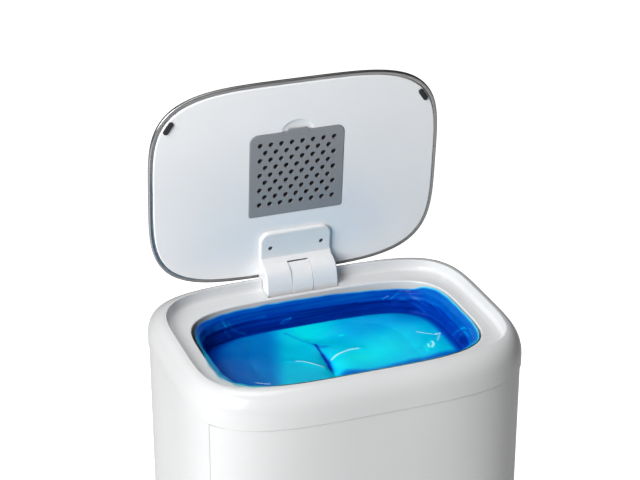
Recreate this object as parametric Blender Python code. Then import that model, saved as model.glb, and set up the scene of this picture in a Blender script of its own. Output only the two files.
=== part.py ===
"""Pedal nappy bin with a hinged lid, a pinched film liner and a tilting front door.

Metres, +Z up. The front faces -Y. The lid stands open at rest and the pedal is down.
Everything hangs from one empty at the centre of the housing, on the floor,
which is set back so that the origin is the centre of the whole footprint.
"""
import math

import bmesh
import bpy
from mathutils import Matrix, Vector

# Overall sizes
CREST_H = 0.580          # floor to the crest of the rim
COLLAR_W = 0.3084        # collar across the bin
COLLAR_D = 0.2306        # collar front to back
BODY_STEP = 0.0008       # collar stands this far proud of the housing
FRONT_POWER = 3.85       # squareness of the body's front half, 2 is an ellipse
BACK_POWER = 5.0         # the back half has tighter corners
SEGMENTS = 48            # points round each oval outline
WALL = 0.0026            # moulded wall
GAP = 0.0003             # seat gap between touching pieces
SEAM = 0.0006            # visible seam round the door
OVERRUN = 0.004          # how far a cutter runs past what it cuts

# Collar, from the crest down
COLLAR_H = 0.0316
SHOULDER_H = 0.0225      # height of the rounding from the side up to the crest
CREST_W = 0.0005         # flat of the crest
CREST_POWER = 4.4
SHOULDER_STEPS = 5
RIM_SIDE = 0.0139        # collar's side to the crest's inner edge
RIM_END = 0.0181         # the same at the front and back
RIM_POWER = 4.57
RIM_EASE = 0.0009        # rounding of the crest's inner edge
RECESS_H = 0.0098        # crest to ledge
RECESS_FILLET = 0.0045
RECESS_DRAFT = 0.0007
LEDGE_SIDE = 0.0178      # width of the ledge at the sides
LEDGE_END = 0.0196       # and at the front and back
MOUTH_POWER = 4.1
MOUTH_Y = -0.0022        # the opening sits a little towards the front
MOUTH_LIP = 0.0012
THROAT_H = 0.0240
THROAT_DRAFT = 0.0008

# Lid, given closed; the hinge axis is behind the rim's inner edge
LID_SIDE = 0.0027        # rim's inner edge to the lid at the sides
LID_OVER = 0.0020        # the lid covers this much of the crest at its free edge
LID_POWER = 4.03
LID_REST = 0.0005        # inner panel above the crest when shut
LID_RISE = 0.0120        # inner panel to the top of the dome
LID_EDGE_H = 0.0042      # inner panel to the widest line of the hem
LID_SKIN = 0.0008        # steel sheet
HEM_W = 0.0036           # rolled steel hem round the inner panel
HEM_LIFT = 0.0013        # hem's lower face above the inner panel's face
PANEL_T = 0.0024
PANEL_EASE = 0.0008
LID_OPEN = math.radians(84.6)
HINGE_IN = 0.0140        # collar's back to the hinge axis
HINGE_DROP = 0.0070      # below the crest

# Filter in the lid
COVER_W = 0.0896
COVER_L = 0.0828
COVER_Y = 0.0079         # cover's centre, from the lid's centre towards its free edge
COVER_T = 0.0018
COVER_TOP_R = 0.0080
COVER_FOOT_R = 0.0024
HOLE_D = 0.0050
HOLE_PITCH = 0.0100
HOLE_ROW = 0.0075
HOLE_ROWS = 9
HOLES_IN_LONG_ROW = 8
HOLE_SIDES = 8
GRID_Y = 0.0084
TAB_W = 0.0200
TAB_REACH = 0.0024
SCOOP_W = 0.0300
SCOOP_L = 0.0110
SCOOP_DEPTH = 0.0016
FILTER_T = 0.0042
FILTER_MARGIN = 0.0030
TRAY_T = 0.0014

# Lid bumpers
BUMPER_IN = 0.0178       # in from the lid's side
BUMPER_UP = 0.0308       # in from the lid's free edge
BUMPER_L = 0.0130
BUMPER_W = 0.0050
BUMPER_T = 0.0016
BUMPER_TURN = math.radians(56)

# Hinge bracket, measured from the hinge axis with the lid shut
BRACKET_W = 0.0690
BRACKET_T = 0.0040       # plate on the panel
BRACKET_REACH = 0.0508   # axis to the plate's far edge
BRACKET_BEND = 0.0250    # axis to where the arms leave the plate
BRACKET_CORNER = 0.0090
BRACKET_EASE = 0.0014
ARM_R = 0.0213           # rounding of the arms round the axis
ARM_RISE = 0.0027        # centre of that rounding above the axis
BOSS_R = 0.0078
BOSS_FROM = math.radians(-60)
BOSS_TO = math.radians(20)
SLOT_W = 0.0206          # slot between the arms
SLOT_REACH = 0.0220      # axis to the end of the slot
SCREW_X = 0.0247
SCREW_REACH = 0.0350
SCREW_HEAD_R = 0.0019
SCREW_HEAD_H = 0.0012
SCREW_SHANK_R = 0.0011
SCREW_RECESS = 0.0009
POCKET_CLEAR = 0.0008
POCKET_BACK = 0.0103     # axis to the back wall of the pocket
POCKET_CHEEK = 0.0050
POCKET_SKIN = 0.0046     # floor under the arms' lowest point
PIN_R = 0.0030
PIN_CLEAR = 0.0001

# Lift linkage between the arms
CRANK_R = 0.0095
CRANK_PIN_R = 0.0020
COVER_SKIN_T = 0.0024
COVER_SKIN_FROM = math.radians(-10)
COVER_SKIN_TO = math.radians(78)
YOKE_T = 0.0100
YOKE_WALL = 0.0020
YOKE_PLAY = 0.0006
ROD_W = 0.0100
ROD_T = 0.0016
ROD_BACK = 0.0051        # axis to the middle of the rod
GUIDE_W = 0.0180
GUIDE_H = 0.0160
GUIDE_SLACK = 0.0004
guide_height_shares = {"low": 0.30, "middle": 0.52, "high": 0.74}

# Film cassette, film and bag
CASSETTE_DROP = 0.0072   # ledge to the top of the cassette
CASSETTE_H = 0.0310
CASSETTE_CLEAR = 0.0030
CASSETTE_T = 0.0024
FILM_T = 0.0014
FILM_ROLL_H = 0.0046
PINCH_IN = 0.0115        # jaw's end to the end of the pinched line
PINCH_T = 0.0024         # folded film in the pinch
PINCH_POWER = 2.4
CUP_POWER = 2.0          # the cup's rings round off towards the pinch
BAG_L = 0.2700
BAG_W = 0.1500
BAG_D = 0.1240

# Jaws that pinch the film, and their frame
FRAME_SIDE = 0.0035      # frame's side beyond the mouth
FRAME_END = 0.0219       # frame's front and back beyond the mouth
FRAME_POWER = 4.6
FRAME_T = 0.0056
POST_R = 0.0042
POST_SIDE = 0.0180       # frame's side to the middle of a post
POST_END = 0.0155
JAW_SIDE = 0.0245        # mouth's side to a jaw's pin
JAW_END_IN = 0.0191      # mouth's front to a jaw's end
JAW_T = 0.0030
JAW_DROP = 0.0030        # frame's underside to a jaw's top
JAW_MEET = 0.0032        # gap between the two jaws
JAW_BARREL_R = 0.0040
JAW_PIN_R = 0.0018
JAW_EAR_T = 0.0040
JAW_EAR_IN = 0.0060
JAW_EAR_OUT = 0.0200
JAW_END = 0.0006
SPRING_ROOM = 0.0180
SPRING_R = 0.0042
SPRING_WIRE_R = 0.0006
SPRING_TURNS = 5
SPRING_STEPS = 10
RIB_H = 0.0050
RIB_T = 0.0020
ribs_per_jaw = 3
rib_reach_share = 0.88   # of the flap, from its pin

# Housing, door and base
BASE_H = 0.0920
BASE_CLEAR = 0.0063      # floor to the underside of the base
BASE_WALL = 0.0028
BASE_TOE = 0.0040
DOOR_SIDE = 0.0114       # housing's side to the door's edge
DOOR_LIFT = 0.0018       # base to the door's lower edge
DOOR_AXIS_IN = 0.0079    # front face to the door's hinge axis
DOOR_AXIS_UP = 0.0080    # door's lower edge to its hinge axis
DOOR_RIB_H = 0.0060
DOOR_RIB_T = 0.0022
DOOR_RIB_MARGIN = 0.0160
CROWN_STEPS = 6          # of the door's top edge, which swings under the collar
lug_place_share = 0.326  # of half the door's width
LUG_W = 0.0076
LUG_R = 0.0040
DOOR_EASE = 0.0021       # rounding of the door's lower edge, which swings past the base
door_rib_shares = (0.25, 0.50, 0.75)
rib_span_share = 1.25    # of the distance out to a lug
LUG_SPACE = 0.0003
EAR_W = 0.0050
EAR_LEG = 0.0060
DOOR_PIN_R = 0.0020
CATCH_W = 0.0340
CATCH_PLATE_T = 0.0016
CATCH_H = 0.0120
DECK_H = 0.0580          # floor to the inner floor
DECK_T = 0.0026
DECK_POST_R = 0.0050
FOOT_R = 0.0110
foot_place_shares = (0.74, 0.72)

# Pedal
PEDAL_AXLE_Y = 0.0120
PEDAL_AXLE_H = 0.0300
PEDAL_TILT = math.radians(5.8)
PEDAL_GAP = 0.00664      # collar's front to the back edge of the pad
PEDAL_W = 0.0860
PEDAL_D = 0.0340
PEDAL_T = 0.0085
PEDAL_EASE = 0.0024
PEDAL_CORNER = 0.0120
ARM_W = 0.0260
ARM_T = 0.0065
PEDAL_HUB_R = 0.0065
AXLE_R = 0.0030
AXLE_EAR_T = 0.0045
AXLE_GAP = 0.0006
PEDAL_SLOT_W = 0.0320
PEDAL_SLOT_TOP = 0.0460
PEDAL_TIP_R = 0.0034
PAD_W = 0.0660
PAD_L = 0.0210
PAD_T = 0.0008
TREAD_W = 0.0030
tread_count = 3

SIDES = {"left": -1, "right": 1}
ENDS = {"front": -1, "back": 1}

# Worked out from the sizes above
BODY_W = COLLAR_W - 2 * BODY_STEP
BODY_D = COLLAR_D - 2 * BODY_STEP
RIM_W = COLLAR_W - 2 * RIM_SIDE
RIM_D = COLLAR_D - 2 * RIM_END
MOUTH_W = RIM_W - 2 * LEDGE_SIDE
MOUTH_D = RIM_D - 2 * LEDGE_END
LID_W = RIM_W - 2 * LID_SIDE
LID_D = RIM_D + 2 * LID_OVER
HINGE_Y = COLLAR_D / 2 - HINGE_IN
BUMPER_X = LID_W / 2 - BUMPER_IN
BUMPER_Y = LID_D / 2 - BUMPER_UP
FRAME_W = MOUTH_W + 2 * FRAME_SIDE
FRAME_D = MOUTH_D + 2 * FRAME_END
POST_X = FRAME_W / 2 - POST_SIDE
POST_Y = FRAME_D / 2 - POST_END
JAW_REACH = MOUTH_W / 2 - JAW_SIDE
JAW_D = MOUTH_D - 2 * JAW_END_IN
PINCH_D = JAW_D - 2 * PINCH_IN
DOOR_W = BODY_W - 2 * DOOR_SIDE
LUG_X = DOOR_W / 2 * lug_place_share
COLLAR_FOOT = CREST_H - COLLAR_H
LEDGE_H = CREST_H - RECESS_H
HINGE_H = CREST_H - HINGE_DROP
PANEL_H = HINGE_DROP + LID_REST
HALF_SWING = LID_OPEN / 2
LIFT = 2 * CRANK_R * math.sin(HALF_SWING)
ROD_Y = HINGE_Y + ROD_BACK
CASSETTE_TOP = LEDGE_H - CASSETTE_DROP
CASSETTE_W = MOUTH_W - 2 * CASSETTE_CLEAR
CASSETTE_D = MOUTH_D - 2 * CASSETTE_CLEAR
FRAME_TOP = CASSETTE_TOP - CASSETTE_H - GAP
FRAME_FOOT = FRAME_TOP - FRAME_T
FRAME_MOUTH_W = CASSETTE_W - 2 * CASSETTE_T
FRAME_MOUTH_D = CASSETTE_D - 2 * CASSETTE_T
JAW_TOP = FRAME_FOOT - JAW_DROP
JAW_H = JAW_TOP - JAW_T / 2
BAG_TOP = JAW_TOP - JAW_T - 3 * GAP
DOOR_FOOT = BASE_H + DOOR_LIFT
DOOR_TOP = COLLAR_FOOT - SEAM
DOOR_AXIS_Y = -BODY_D / 2 + DOOR_AXIS_IN
DOOR_AXIS_H = DOOR_FOOT + DOOR_AXIS_UP
PEDAL_BACK = ROD_Y - PEDAL_AXLE_Y
PEDAL_REACH = COLLAR_D / 2 + PEDAL_GAP + PEDAL_D


def clear_scene():
    for item in list(bpy.data.objects):
        bpy.data.objects.remove(item, do_unlink=True)


def collection(name):
    group = bpy.data.collections.new(name)
    bpy.context.scene.collection.children.link(group)
    return group


def material(name, color, roughness, metallic=0.0):
    made = bpy.data.materials.new(name)
    made.use_nodes = True
    shader = made.node_tree.nodes["Principled BSDF"]
    shader.inputs["Base Color"].default_value = (*color, 1)
    shader.inputs["Roughness"].default_value = roughness
    shader.inputs["Metallic"].default_value = metallic
    made.diffuse_color = (*color, 1)
    return made


def empty(name, location, parent=None, turn=0.0):
    frame = bpy.data.objects.new(name, None)
    PARTS.objects.link(frame)
    frame.parent = parent
    frame.location = location
    frame.rotation_euler = (turn, 0, 0)
    return frame


def add(name, mesh, finish, parent, location=(0, 0, 0)):
    """Turn a bmesh into a named part with its material."""
    bmesh.ops.recalc_face_normals(mesh, faces=mesh.faces)
    data = bpy.data.meshes.new(name)
    mesh.to_mesh(data)
    mesh.free()
    part = bpy.data.objects.new(name, data)
    PARTS.objects.link(part)
    part.parent = parent
    part.location = location
    data.materials.append(finish)
    data.shade_smooth()
    data.set_sharp_from_angle(angle=math.radians(30))
    return part


def shape(part, mesh, operation="DIFFERENCE"):
    """Cut a bmesh out of a part, or join it on, with an exact Boolean."""
    bmesh.ops.recalc_face_normals(mesh, faces=mesh.faces)
    data = bpy.data.meshes.new(part.name + "_cutter")
    mesh.to_mesh(data)
    mesh.free()
    cutter = bpy.data.objects.new(data.name, data)
    CUTTERS.objects.link(cutter)
    cutter.parent = part.parent
    cutter.location = part.location
    cutter.hide_render = True
    cutter.display_type = "WIRE"
    step = part.modifiers.new(operation.title(), "BOOLEAN")
    step.operation = operation
    step.solver = "EXACT"
    step.object = cutter
    return part


def oval(width, depth, power, height, middle=0.0):
    """One ring of points on a rounded-square outline."""
    ring = []
    for step in range(SEGMENTS):
        turn = math.tau * step / SEGMENTS
        across, along = math.cos(turn), math.sin(turn)
        x = math.copysign(abs(across) ** (2 / power), across) * width / 2
        y = math.copysign(abs(along) ** (2 / power), along) * depth / 2
        ring.append((x, y + middle, height))
    return ring


def body_oval(width, depth, height):
    """A ring of the body's outline, rounder in front than behind."""
    half = SEGMENTS // 2
    return (oval(width, depth, BACK_POWER, height)[:half]
            + oval(width, depth, FRONT_POWER, height)[half:])


def loft(rings, closed=False):
    """Skin a list of rings: a tube that bites its tail, or a capped stack."""
    mesh = bmesh.new()
    rows = [[mesh.verts.new(point) for point in ring] for ring in rings]
    pairs = list(zip(rows, rows[1:]))
    if closed:
        pairs.append((rows[-1], rows[0]))
    for low, high in pairs:
        count = len(low)
        for here in range(count):
            after = (here + 1) % count
            mesh.faces.new((low[here], low[after], high[after], high[here]))
    if not closed:
        mesh.faces.new(rows[0])
        mesh.faces.new(rows[-1])
    return mesh


def block(low, high):
    """A box between two corners."""
    mesh = bmesh.new()
    bmesh.ops.create_cube(mesh, size=1)
    low, high = Vector(low), Vector(high)
    bmesh.ops.scale(mesh, vec=high - low, verts=mesh.verts)
    bmesh.ops.translate(mesh, vec=(low + high) / 2, verts=mesh.verts)
    return mesh


def rod(start, end, radius, sides=20, end_radius=None):
    """A round bar between two points."""
    mesh = bmesh.new()
    start, end = Vector(start), Vector(end)
    axis = end - start
    turn = Vector((0, 0, 1)).rotation_difference(axis).to_matrix().to_4x4()
    bmesh.ops.create_cone(mesh, cap_ends=True, segments=sides, radius1=radius,
                          radius2=radius if end_radius is None else end_radius, depth=axis.length,
                          matrix=Matrix.Translation((start + end) / 2) @ turn)
    return mesh


def prism(outline, low, high):
    """Extrude an outline of (y, z) points along X."""
    mesh = bmesh.new()
    face = mesh.faces.new([mesh.verts.new((low, y, z)) for y, z in outline])
    made = bmesh.ops.extrude_face_region(mesh, geom=[face])
    moved = [item for item in made["geom"] if isinstance(item, bmesh.types.BMVert)]
    bmesh.ops.translate(mesh, vec=(high - low, 0, 0), verts=moved)
    return mesh


def slab(outline, low, high):
    """Extrude an outline of (x, y) points along Z."""
    mesh = bmesh.new()
    face = mesh.faces.new([mesh.verts.new((x, y, low)) for x, y in outline])
    made = bmesh.ops.extrude_face_region(mesh, geom=[face])
    moved = [item for item in made["geom"] if isinstance(item, bmesh.types.BMVert)]
    bmesh.ops.translate(mesh, vec=(0, 0, high - low), verts=moved)
    return mesh


def join(*meshes):
    """Put several separate closed shapes into one bmesh."""
    whole = bmesh.new()
    for mesh in meshes:
        data = bpy.data.meshes.new("joined")
        mesh.to_mesh(data)
        mesh.free()
        whole.from_mesh(data)
        bpy.data.meshes.remove(data)
    return whole


def arc(centre, radius, start, end, steps):
    """Points on a circle, angles in radians from the first axis."""
    points = []
    for step in range(steps + 1):
        turn = start + (end - start) * step / steps
        points.append((centre[0] + radius * math.cos(turn), centre[1] + radius * math.sin(turn)))
    return points


def rounded(width, depth, radii, middle=(0, 0), steps=4):
    """Rounded rectangle; radii run front left, front right, back right, back left."""
    half_w, half_d = width / 2, depth / 2
    corners = ((-1, -1, math.pi), (1, -1, 1.5 * math.pi), (1, 1, 0), (-1, 1, math.pi / 2))
    points = []
    for (side, end, start), radius in zip(corners, radii):
        centre = (middle[0] + side * (half_w - radius), middle[1] + end * (half_d - radius))
        points += arc(centre, radius, start, start + math.pi / 2, steps)
    return points


def ease(mesh, width, chosen, segments=2):
    """Round the chosen edges of a bmesh."""
    edges = [edge for edge in mesh.edges if chosen(edge)]
    bmesh.ops.bevel(mesh, geom=edges, offset=width, segments=segments, affect="EDGES", profile=0.5)
    return mesh


def at_height(height, slack=1e-6):
    return lambda edge: all(abs(vert.co.z - height) < slack for vert in edge.verts)


def make_collar():
    """Top ring: shoulder, crest, recess wall, ledge and throat in one closed section."""
    rings = [body_oval(COLLAR_W, COLLAR_D, COLLAR_FOOT)]
    crest = oval(RIM_W + 2 * CREST_W, RIM_D + 2 * CREST_W, CREST_POWER, CREST_H)
    side = body_oval(COLLAR_W, COLLAR_D, CREST_H)
    for step in range(SHOULDER_STEPS + 1):
        turn = math.pi / 2 * step / SHOULDER_STEPS
        drop = Vector((0, 0, SHOULDER_H * (1 - math.sin(turn))))
        rings.append([Vector(low).lerp(high, 1 - math.cos(turn)) - drop for low, high in zip(side, crest)])
    rings.append(oval(RIM_W, RIM_D, RIM_POWER, CREST_H - RIM_EASE))
    steps = 3
    for step in range(steps + 1):
        turn = math.pi / 2 * step / steps
        inset = 2 * (RECESS_DRAFT + RECESS_FILLET * (1 - math.cos(turn)))
        rings.append(oval(RIM_W - inset, RIM_D - inset, RIM_POWER,
                          LEDGE_H + RECESS_FILLET * (1 - math.sin(turn))))
    lip, draft = 2 * MOUTH_LIP, 2 * THROAT_DRAFT
    throat_foot = LEDGE_H - THROAT_H
    under = LEDGE_H - WALL
    rings += [
        oval(MOUTH_W + lip, MOUTH_D + lip, MOUTH_POWER, LEDGE_H, MOUTH_Y),
        oval(MOUTH_W, MOUTH_D, MOUTH_POWER, LEDGE_H - MOUTH_LIP, MOUTH_Y),
        oval(MOUTH_W - draft, MOUTH_D - draft, MOUTH_POWER, throat_foot, MOUTH_Y),
        oval(MOUTH_W - draft + 2 * WALL, MOUTH_D - draft + 2 * WALL, MOUTH_POWER, throat_foot, MOUTH_Y),
        oval(MOUTH_W + 2 * WALL, MOUTH_D + 2 * WALL, MOUTH_POWER, under, MOUTH_Y),
        oval(RIM_W, RIM_D, RIM_POWER, under),
        body_oval(COLLAR_W - 2 * WALL, COLLAR_D - 2 * WALL, under - WALL),
        body_oval(COLLAR_W - 2 * WALL, COLLAR_D - 2 * WALL, COLLAR_FOOT),
    ]
    collar = add("top_collar", loft(rings, closed=True), WHITE, BIN)
    cheek = BRACKET_W / 2 + POCKET_CLEAR + POCKET_CHEEK
    front = MOUTH_D / 2 + MOUTH_Y + WALL / 2
    back = COLLAR_D / 2 - WALL / 2
    floor = HINGE_H - ARM_R + ARM_RISE - POCKET_CLEAR - POCKET_SKIN
    shape(collar, block((-cheek, front, floor), (cheek, back, LEDGE_H - WALL / 2)), "UNION")
    half = BRACKET_W / 2 + POCKET_CLEAR / 2
    outline = [(HINGE_Y - y, HINGE_H + z) for y, z in pocket_outline()]
    shape(collar, prism(outline, -half, half))
    slot_front = HINGE_Y + ROD_BACK - ROD_T / 2 - 2 * GUIDE_SLACK
    slot_back = HINGE_Y + ROD_BACK + ROD_T / 2 + 2 * GUIDE_SLACK
    slot = ROD_W / 2 + 3 * GUIDE_SLACK
    shape(collar, block((-slot, slot_front, floor - OVERRUN), (slot, slot_back, HINGE_H)))
    bore = cheek - POCKET_CHEEK / 3
    shape(collar, rod((-bore, HINGE_Y, HINGE_H), (bore, HINGE_Y, HINGE_H), PIN_R + PIN_CLEAR / 2, 24))
    return collar


# How the arms' radius grows from under the axis towards the plate
arm_angles = (-0.40, -0.16, 0.08, 0.32, 0.52, 0.70, 0.84, 0.95, 1.08, 1.22, 1.40)
arm_radius_shares = (1.0, 1.0, 1.003, 1.015, 1.035, 1.06, 1.078, 1.083, 1.07, 1.055, 1.05)


def arm_outline(extra=0.0):
    """The arms' lower face, as (towards the front, up) from the axis with the lid shut."""
    points = []
    for turn, share in zip(arm_angles, arm_radius_shares):
        radius = ARM_R * share + extra
        points.append((radius * math.sin(turn), ARM_RISE - radius * math.cos(turn)))
    return points


def pocket_outline():
    """The room that the arms sweep, kept clear round them."""
    lift = POCKET_CLEAR
    plate = PANEL_H - BRACKET_T
    under = [(y, z) for y, z in arm_outline(lift) if y > 0]
    return ([(-POCKET_BACK, under[0][1])] + under
            + [(BRACKET_BEND + lift, plate - lift), (BRACKET_BEND + lift, HINGE_DROP + OVERRUN),
               (-POCKET_BACK, HINGE_DROP + OVERRUN)])


def make_bracket():
    """Hinge bracket: a plate on the lid's panel and two arms that curl round the axis."""
    under = PANEL_H - BRACKET_T
    half = BRACKET_W / 2
    length = BRACKET_REACH - BRACKET_BEND / 2
    radii = (BRACKET_CORNER, BRACKET_CORNER, BRACKET_EASE, BRACKET_EASE)
    outline = rounded(BRACKET_W, length, radii, (0, -BRACKET_REACH + length / 2))
    plate = ease(slab(outline, under, PANEL_H - GAP), BRACKET_EASE, at_height(under))
    back = BOSS_R - GAP
    arms = [(-BRACKET_BEND, under)] + [(-y, z) for y, z in reversed(arm_outline())]
    arms += arc((0, 0), BOSS_R, BOSS_FROM, BOSS_TO, 4)
    arms += [(back * math.cos(HALF_SWING), PANEL_H - 2 * GAP), (-BRACKET_BEND, PANEL_H - 2 * GAP)]
    bracket = add("hinge_bracket", plate, WHITE, LID)
    shape(bracket, prism(arms, -half + GAP, half - GAP), "UNION")
    slot = SLOT_W / 2
    shape(bracket, block((-slot, -SLOT_REACH, -ARM_R * 2), (slot, ARM_R, PANEL_H + OVERRUN)))
    bore = half + OVERRUN
    shape(bracket, rod((-bore, 0, 0), (bore, 0, 0), PIN_R + PIN_CLEAR, 24))
    crank_y, crank_z = -CRANK_R * math.cos(HALF_SWING), -CRANK_R * math.sin(HALF_SWING)
    reach = slot + WALL
    shape(bracket, rod((-reach, crank_y, crank_z), (reach, crank_y, crank_z), CRANK_PIN_R, 16), "UNION")
    seat = under + SCREW_RECESS + SCREW_HEAD_H + GAP
    for side in SIDES.values():
        place = (side * SCREW_X, -SCREW_REACH)
        shape(bracket, rod((*place, under - OVERRUN), (*place, seat), SCREW_HEAD_R + GAP, 16))
        shape(bracket, rod((*place, under), (*place, PANEL_H + OVERRUN), SCREW_SHANK_R + GAP, 12))
    return bracket


def make_hinge_parts():
    """Screws, pins, and the curved cover between the arms that hides the linkage."""
    head = PANEL_H - BRACKET_T + SCREW_RECESS
    pin_end = BRACKET_W / 2 + POCKET_CLEAR + POCKET_CHEEK / 2
    for name, side in SIDES.items():
        place = (side * SCREW_X, -SCREW_REACH)
        neck = head + SCREW_HEAD_H
        screw = add("hinge_screw_" + name, rod((*place, head), (*place, neck), SCREW_HEAD_R, 16), STEEL, LID)
        shank = rod((*place, neck - SCREW_HEAD_H / 2), (*place, PANEL_H + PANEL_T - GAP), SCREW_SHANK_R, 12)
        shape(screw, shank, "UNION")
        pin = rod((side * (SLOT_W / 2 + GAP), 0, 0), (side * pin_end, 0, 0), PIN_R, 24)
        add("hinge_pin_" + name, pin, STEEL, BIN, (0, HINGE_Y, HINGE_H))
    inner, outer = ARM_R + GAP - COVER_SKIN_T, ARM_R + GAP
    start, end = COVER_SKIN_FROM - math.pi / 2, COVER_SKIN_TO - math.pi / 2
    centre = (0, ARM_RISE)
    curve = arc(centre, outer, start, end, 9) + arc(centre, inner, end, start, 9)
    half = SLOT_W / 2 - GAP
    add("hinge_cover", prism([(-y, z) for y, z in curve], -half, half), WHITE, LID)


# The dome from its edge to its middle: how far in, as a share of the depth, and how far up
dome_inset_shares = (0.0, 0.012, 0.05, 0.16, 0.34, 0.44)
dome_rise_shares = (0.0, 0.34, 0.62, 0.84, 0.96, 1.0)


def rear_reach():
    """Middle of the housing to the rearmost point, on the open lid's dome or on the collar."""
    reach = COLLAR_D / 2
    for inset, rise in zip(dome_inset_shares, dome_rise_shares):
        height = PANEL_H + LID_EDGE_H + (LID_RISE - LID_EDGE_H) * rise
        forward = HINGE_Y - LID_D / 2 + LID_D * inset
        reach = max(reach, HINGE_Y + height * math.sin(LID_OPEN) - forward * math.cos(LID_OPEN))
    return reach


def lid_oval(inset, height):
    """A ring of the lid's outline, drawn about the hinge axis with the lid shut."""
    return oval(LID_W - 2 * inset, LID_D - 2 * inset, LID_POWER, PANEL_H + height, -HINGE_Y)


def make_lid():
    """Domed steel skin with a rolled hem, and the white inner panel inside it."""
    rise = LID_RISE - LID_EDGE_H
    dome = [(LID_D * inset, LID_EDGE_H + rise * share)
            for inset, share in zip(dome_inset_shares, dome_rise_shares)]
    outside = dome[::-1] + [(0, (HEM_LIFT + LID_EDGE_H) / 2), (HEM_W / 6, HEM_LIFT), (HEM_W, HEM_LIFT)]
    inside = [(HEM_W, HEM_LIFT + PANEL_T + GAP)]
    inside += [(inset + LID_SKIN, height - LID_SKIN) for inset, height in dome[2:]]
    add("lid_skin", loft([lid_oval(inset, height) for inset, height in outside + inside]), STEEL, LID)
    inset = HEM_W + GAP
    panel_rings = [lid_oval(inset + PANEL_EASE, 0), lid_oval(inset, PANEL_EASE), lid_oval(inset, PANEL_T)]
    panel = add("lid_panel", loft(panel_rings), WHITE, LID)
    centre = (0, -HINGE_Y - COVER_Y)
    radii = (COVER_TOP_R, COVER_TOP_R, COVER_FOOT_R, COVER_FOOT_R)
    tray = rounded(COVER_W + 2 * TRAY_T, COVER_L + 2 * TRAY_T, radii, centre)
    tray_top = PANEL_H + COVER_T + FILTER_T + 2 * GAP + TRAY_T
    shape(panel, slab(tray, PANEL_H + PANEL_T / 2, tray_top), "UNION")
    well = rounded(COVER_W + 2 * GAP, COVER_L + 2 * GAP, radii, centre)
    shape(panel, slab(well, PANEL_H - OVERRUN, tray_top - TRAY_T))
    scoop = bmesh.new()
    bmesh.ops.create_uvsphere(scoop, u_segments=20, v_segments=10, radius=1)
    bmesh.ops.scale(scoop, vec=(SCOOP_W / 2, SCOOP_L, SCOOP_DEPTH), verts=scoop.verts)
    bmesh.ops.translate(scoop, vec=(0, centre[1] - COVER_L / 2, PANEL_H), verts=scoop.verts)
    shape(panel, scoop)
    for side in SIDES.values():
        place = (side * SCREW_X, -SCREW_REACH)
        shape(panel, rod((*place, 0), (*place, PANEL_H + PANEL_T + OVERRUN), SCREW_SHANK_R + GAP, 12))


def make_filter():
    """Perforated cover over a carbon cartridge."""
    centre = (0, -HINGE_Y - COVER_Y)
    radii = (COVER_TOP_R, COVER_TOP_R, COVER_FOOT_R, COVER_FOOT_R)
    cover = add("filter_cover", slab(rounded(COVER_W, COVER_L, radii, centre), PANEL_H, PANEL_H + COVER_T),
                GREY, LID)
    holes = []
    for row in range(HOLE_ROWS):
        count = HOLES_IN_LONG_ROW - row % 2
        y = -HINGE_Y - GRID_Y + (row - (HOLE_ROWS - 1) / 2) * HOLE_ROW
        for column in range(count):
            x = (column - (count - 1) / 2) * HOLE_PITCH
            holes.append(rod((x, y, PANEL_H - OVERRUN), (x, y, PANEL_H + COVER_T + OVERRUN),
                             HOLE_D / 2, HOLE_SIDES))
    shape(cover, join(*holes))
    tab = rounded(TAB_W, 2 * TAB_REACH, (TAB_REACH,) * 2 + (TAB_REACH / 2,) * 2,
                  (0, centre[1] - COVER_L / 2))
    thickness = SCOOP_DEPTH / 2
    shape(cover, slab(tab, PANEL_H - thickness, PANEL_H + thickness), "UNION")
    margin = 2 * FILTER_MARGIN
    base = PANEL_H + COVER_T + GAP
    cartridge = slab(rounded(COVER_W - margin, COVER_L - margin, (FILTER_MARGIN,) * 4, centre),
                     base, base + FILTER_T)
    add("carbon_filter", cartridge, CARBON, LID)


def make_bumpers():
    for name, side in SIDES.items():
        radius = BUMPER_W / 2
        pill = slab(rounded(BUMPER_L, BUMPER_W, (radius - GAP / 6,) * 4), -BUMPER_T, -GAP)
        place = Matrix.Translation((side * BUMPER_X, -HINGE_Y - BUMPER_Y, PANEL_H))
        turn = Matrix.Rotation(side * BUMPER_TURN, 4, "Z")
        bmesh.ops.transform(pill, matrix=place @ turn, verts=pill.verts)
        add("lid_bumper_" + name, pill, RUBBER, LID)


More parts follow.
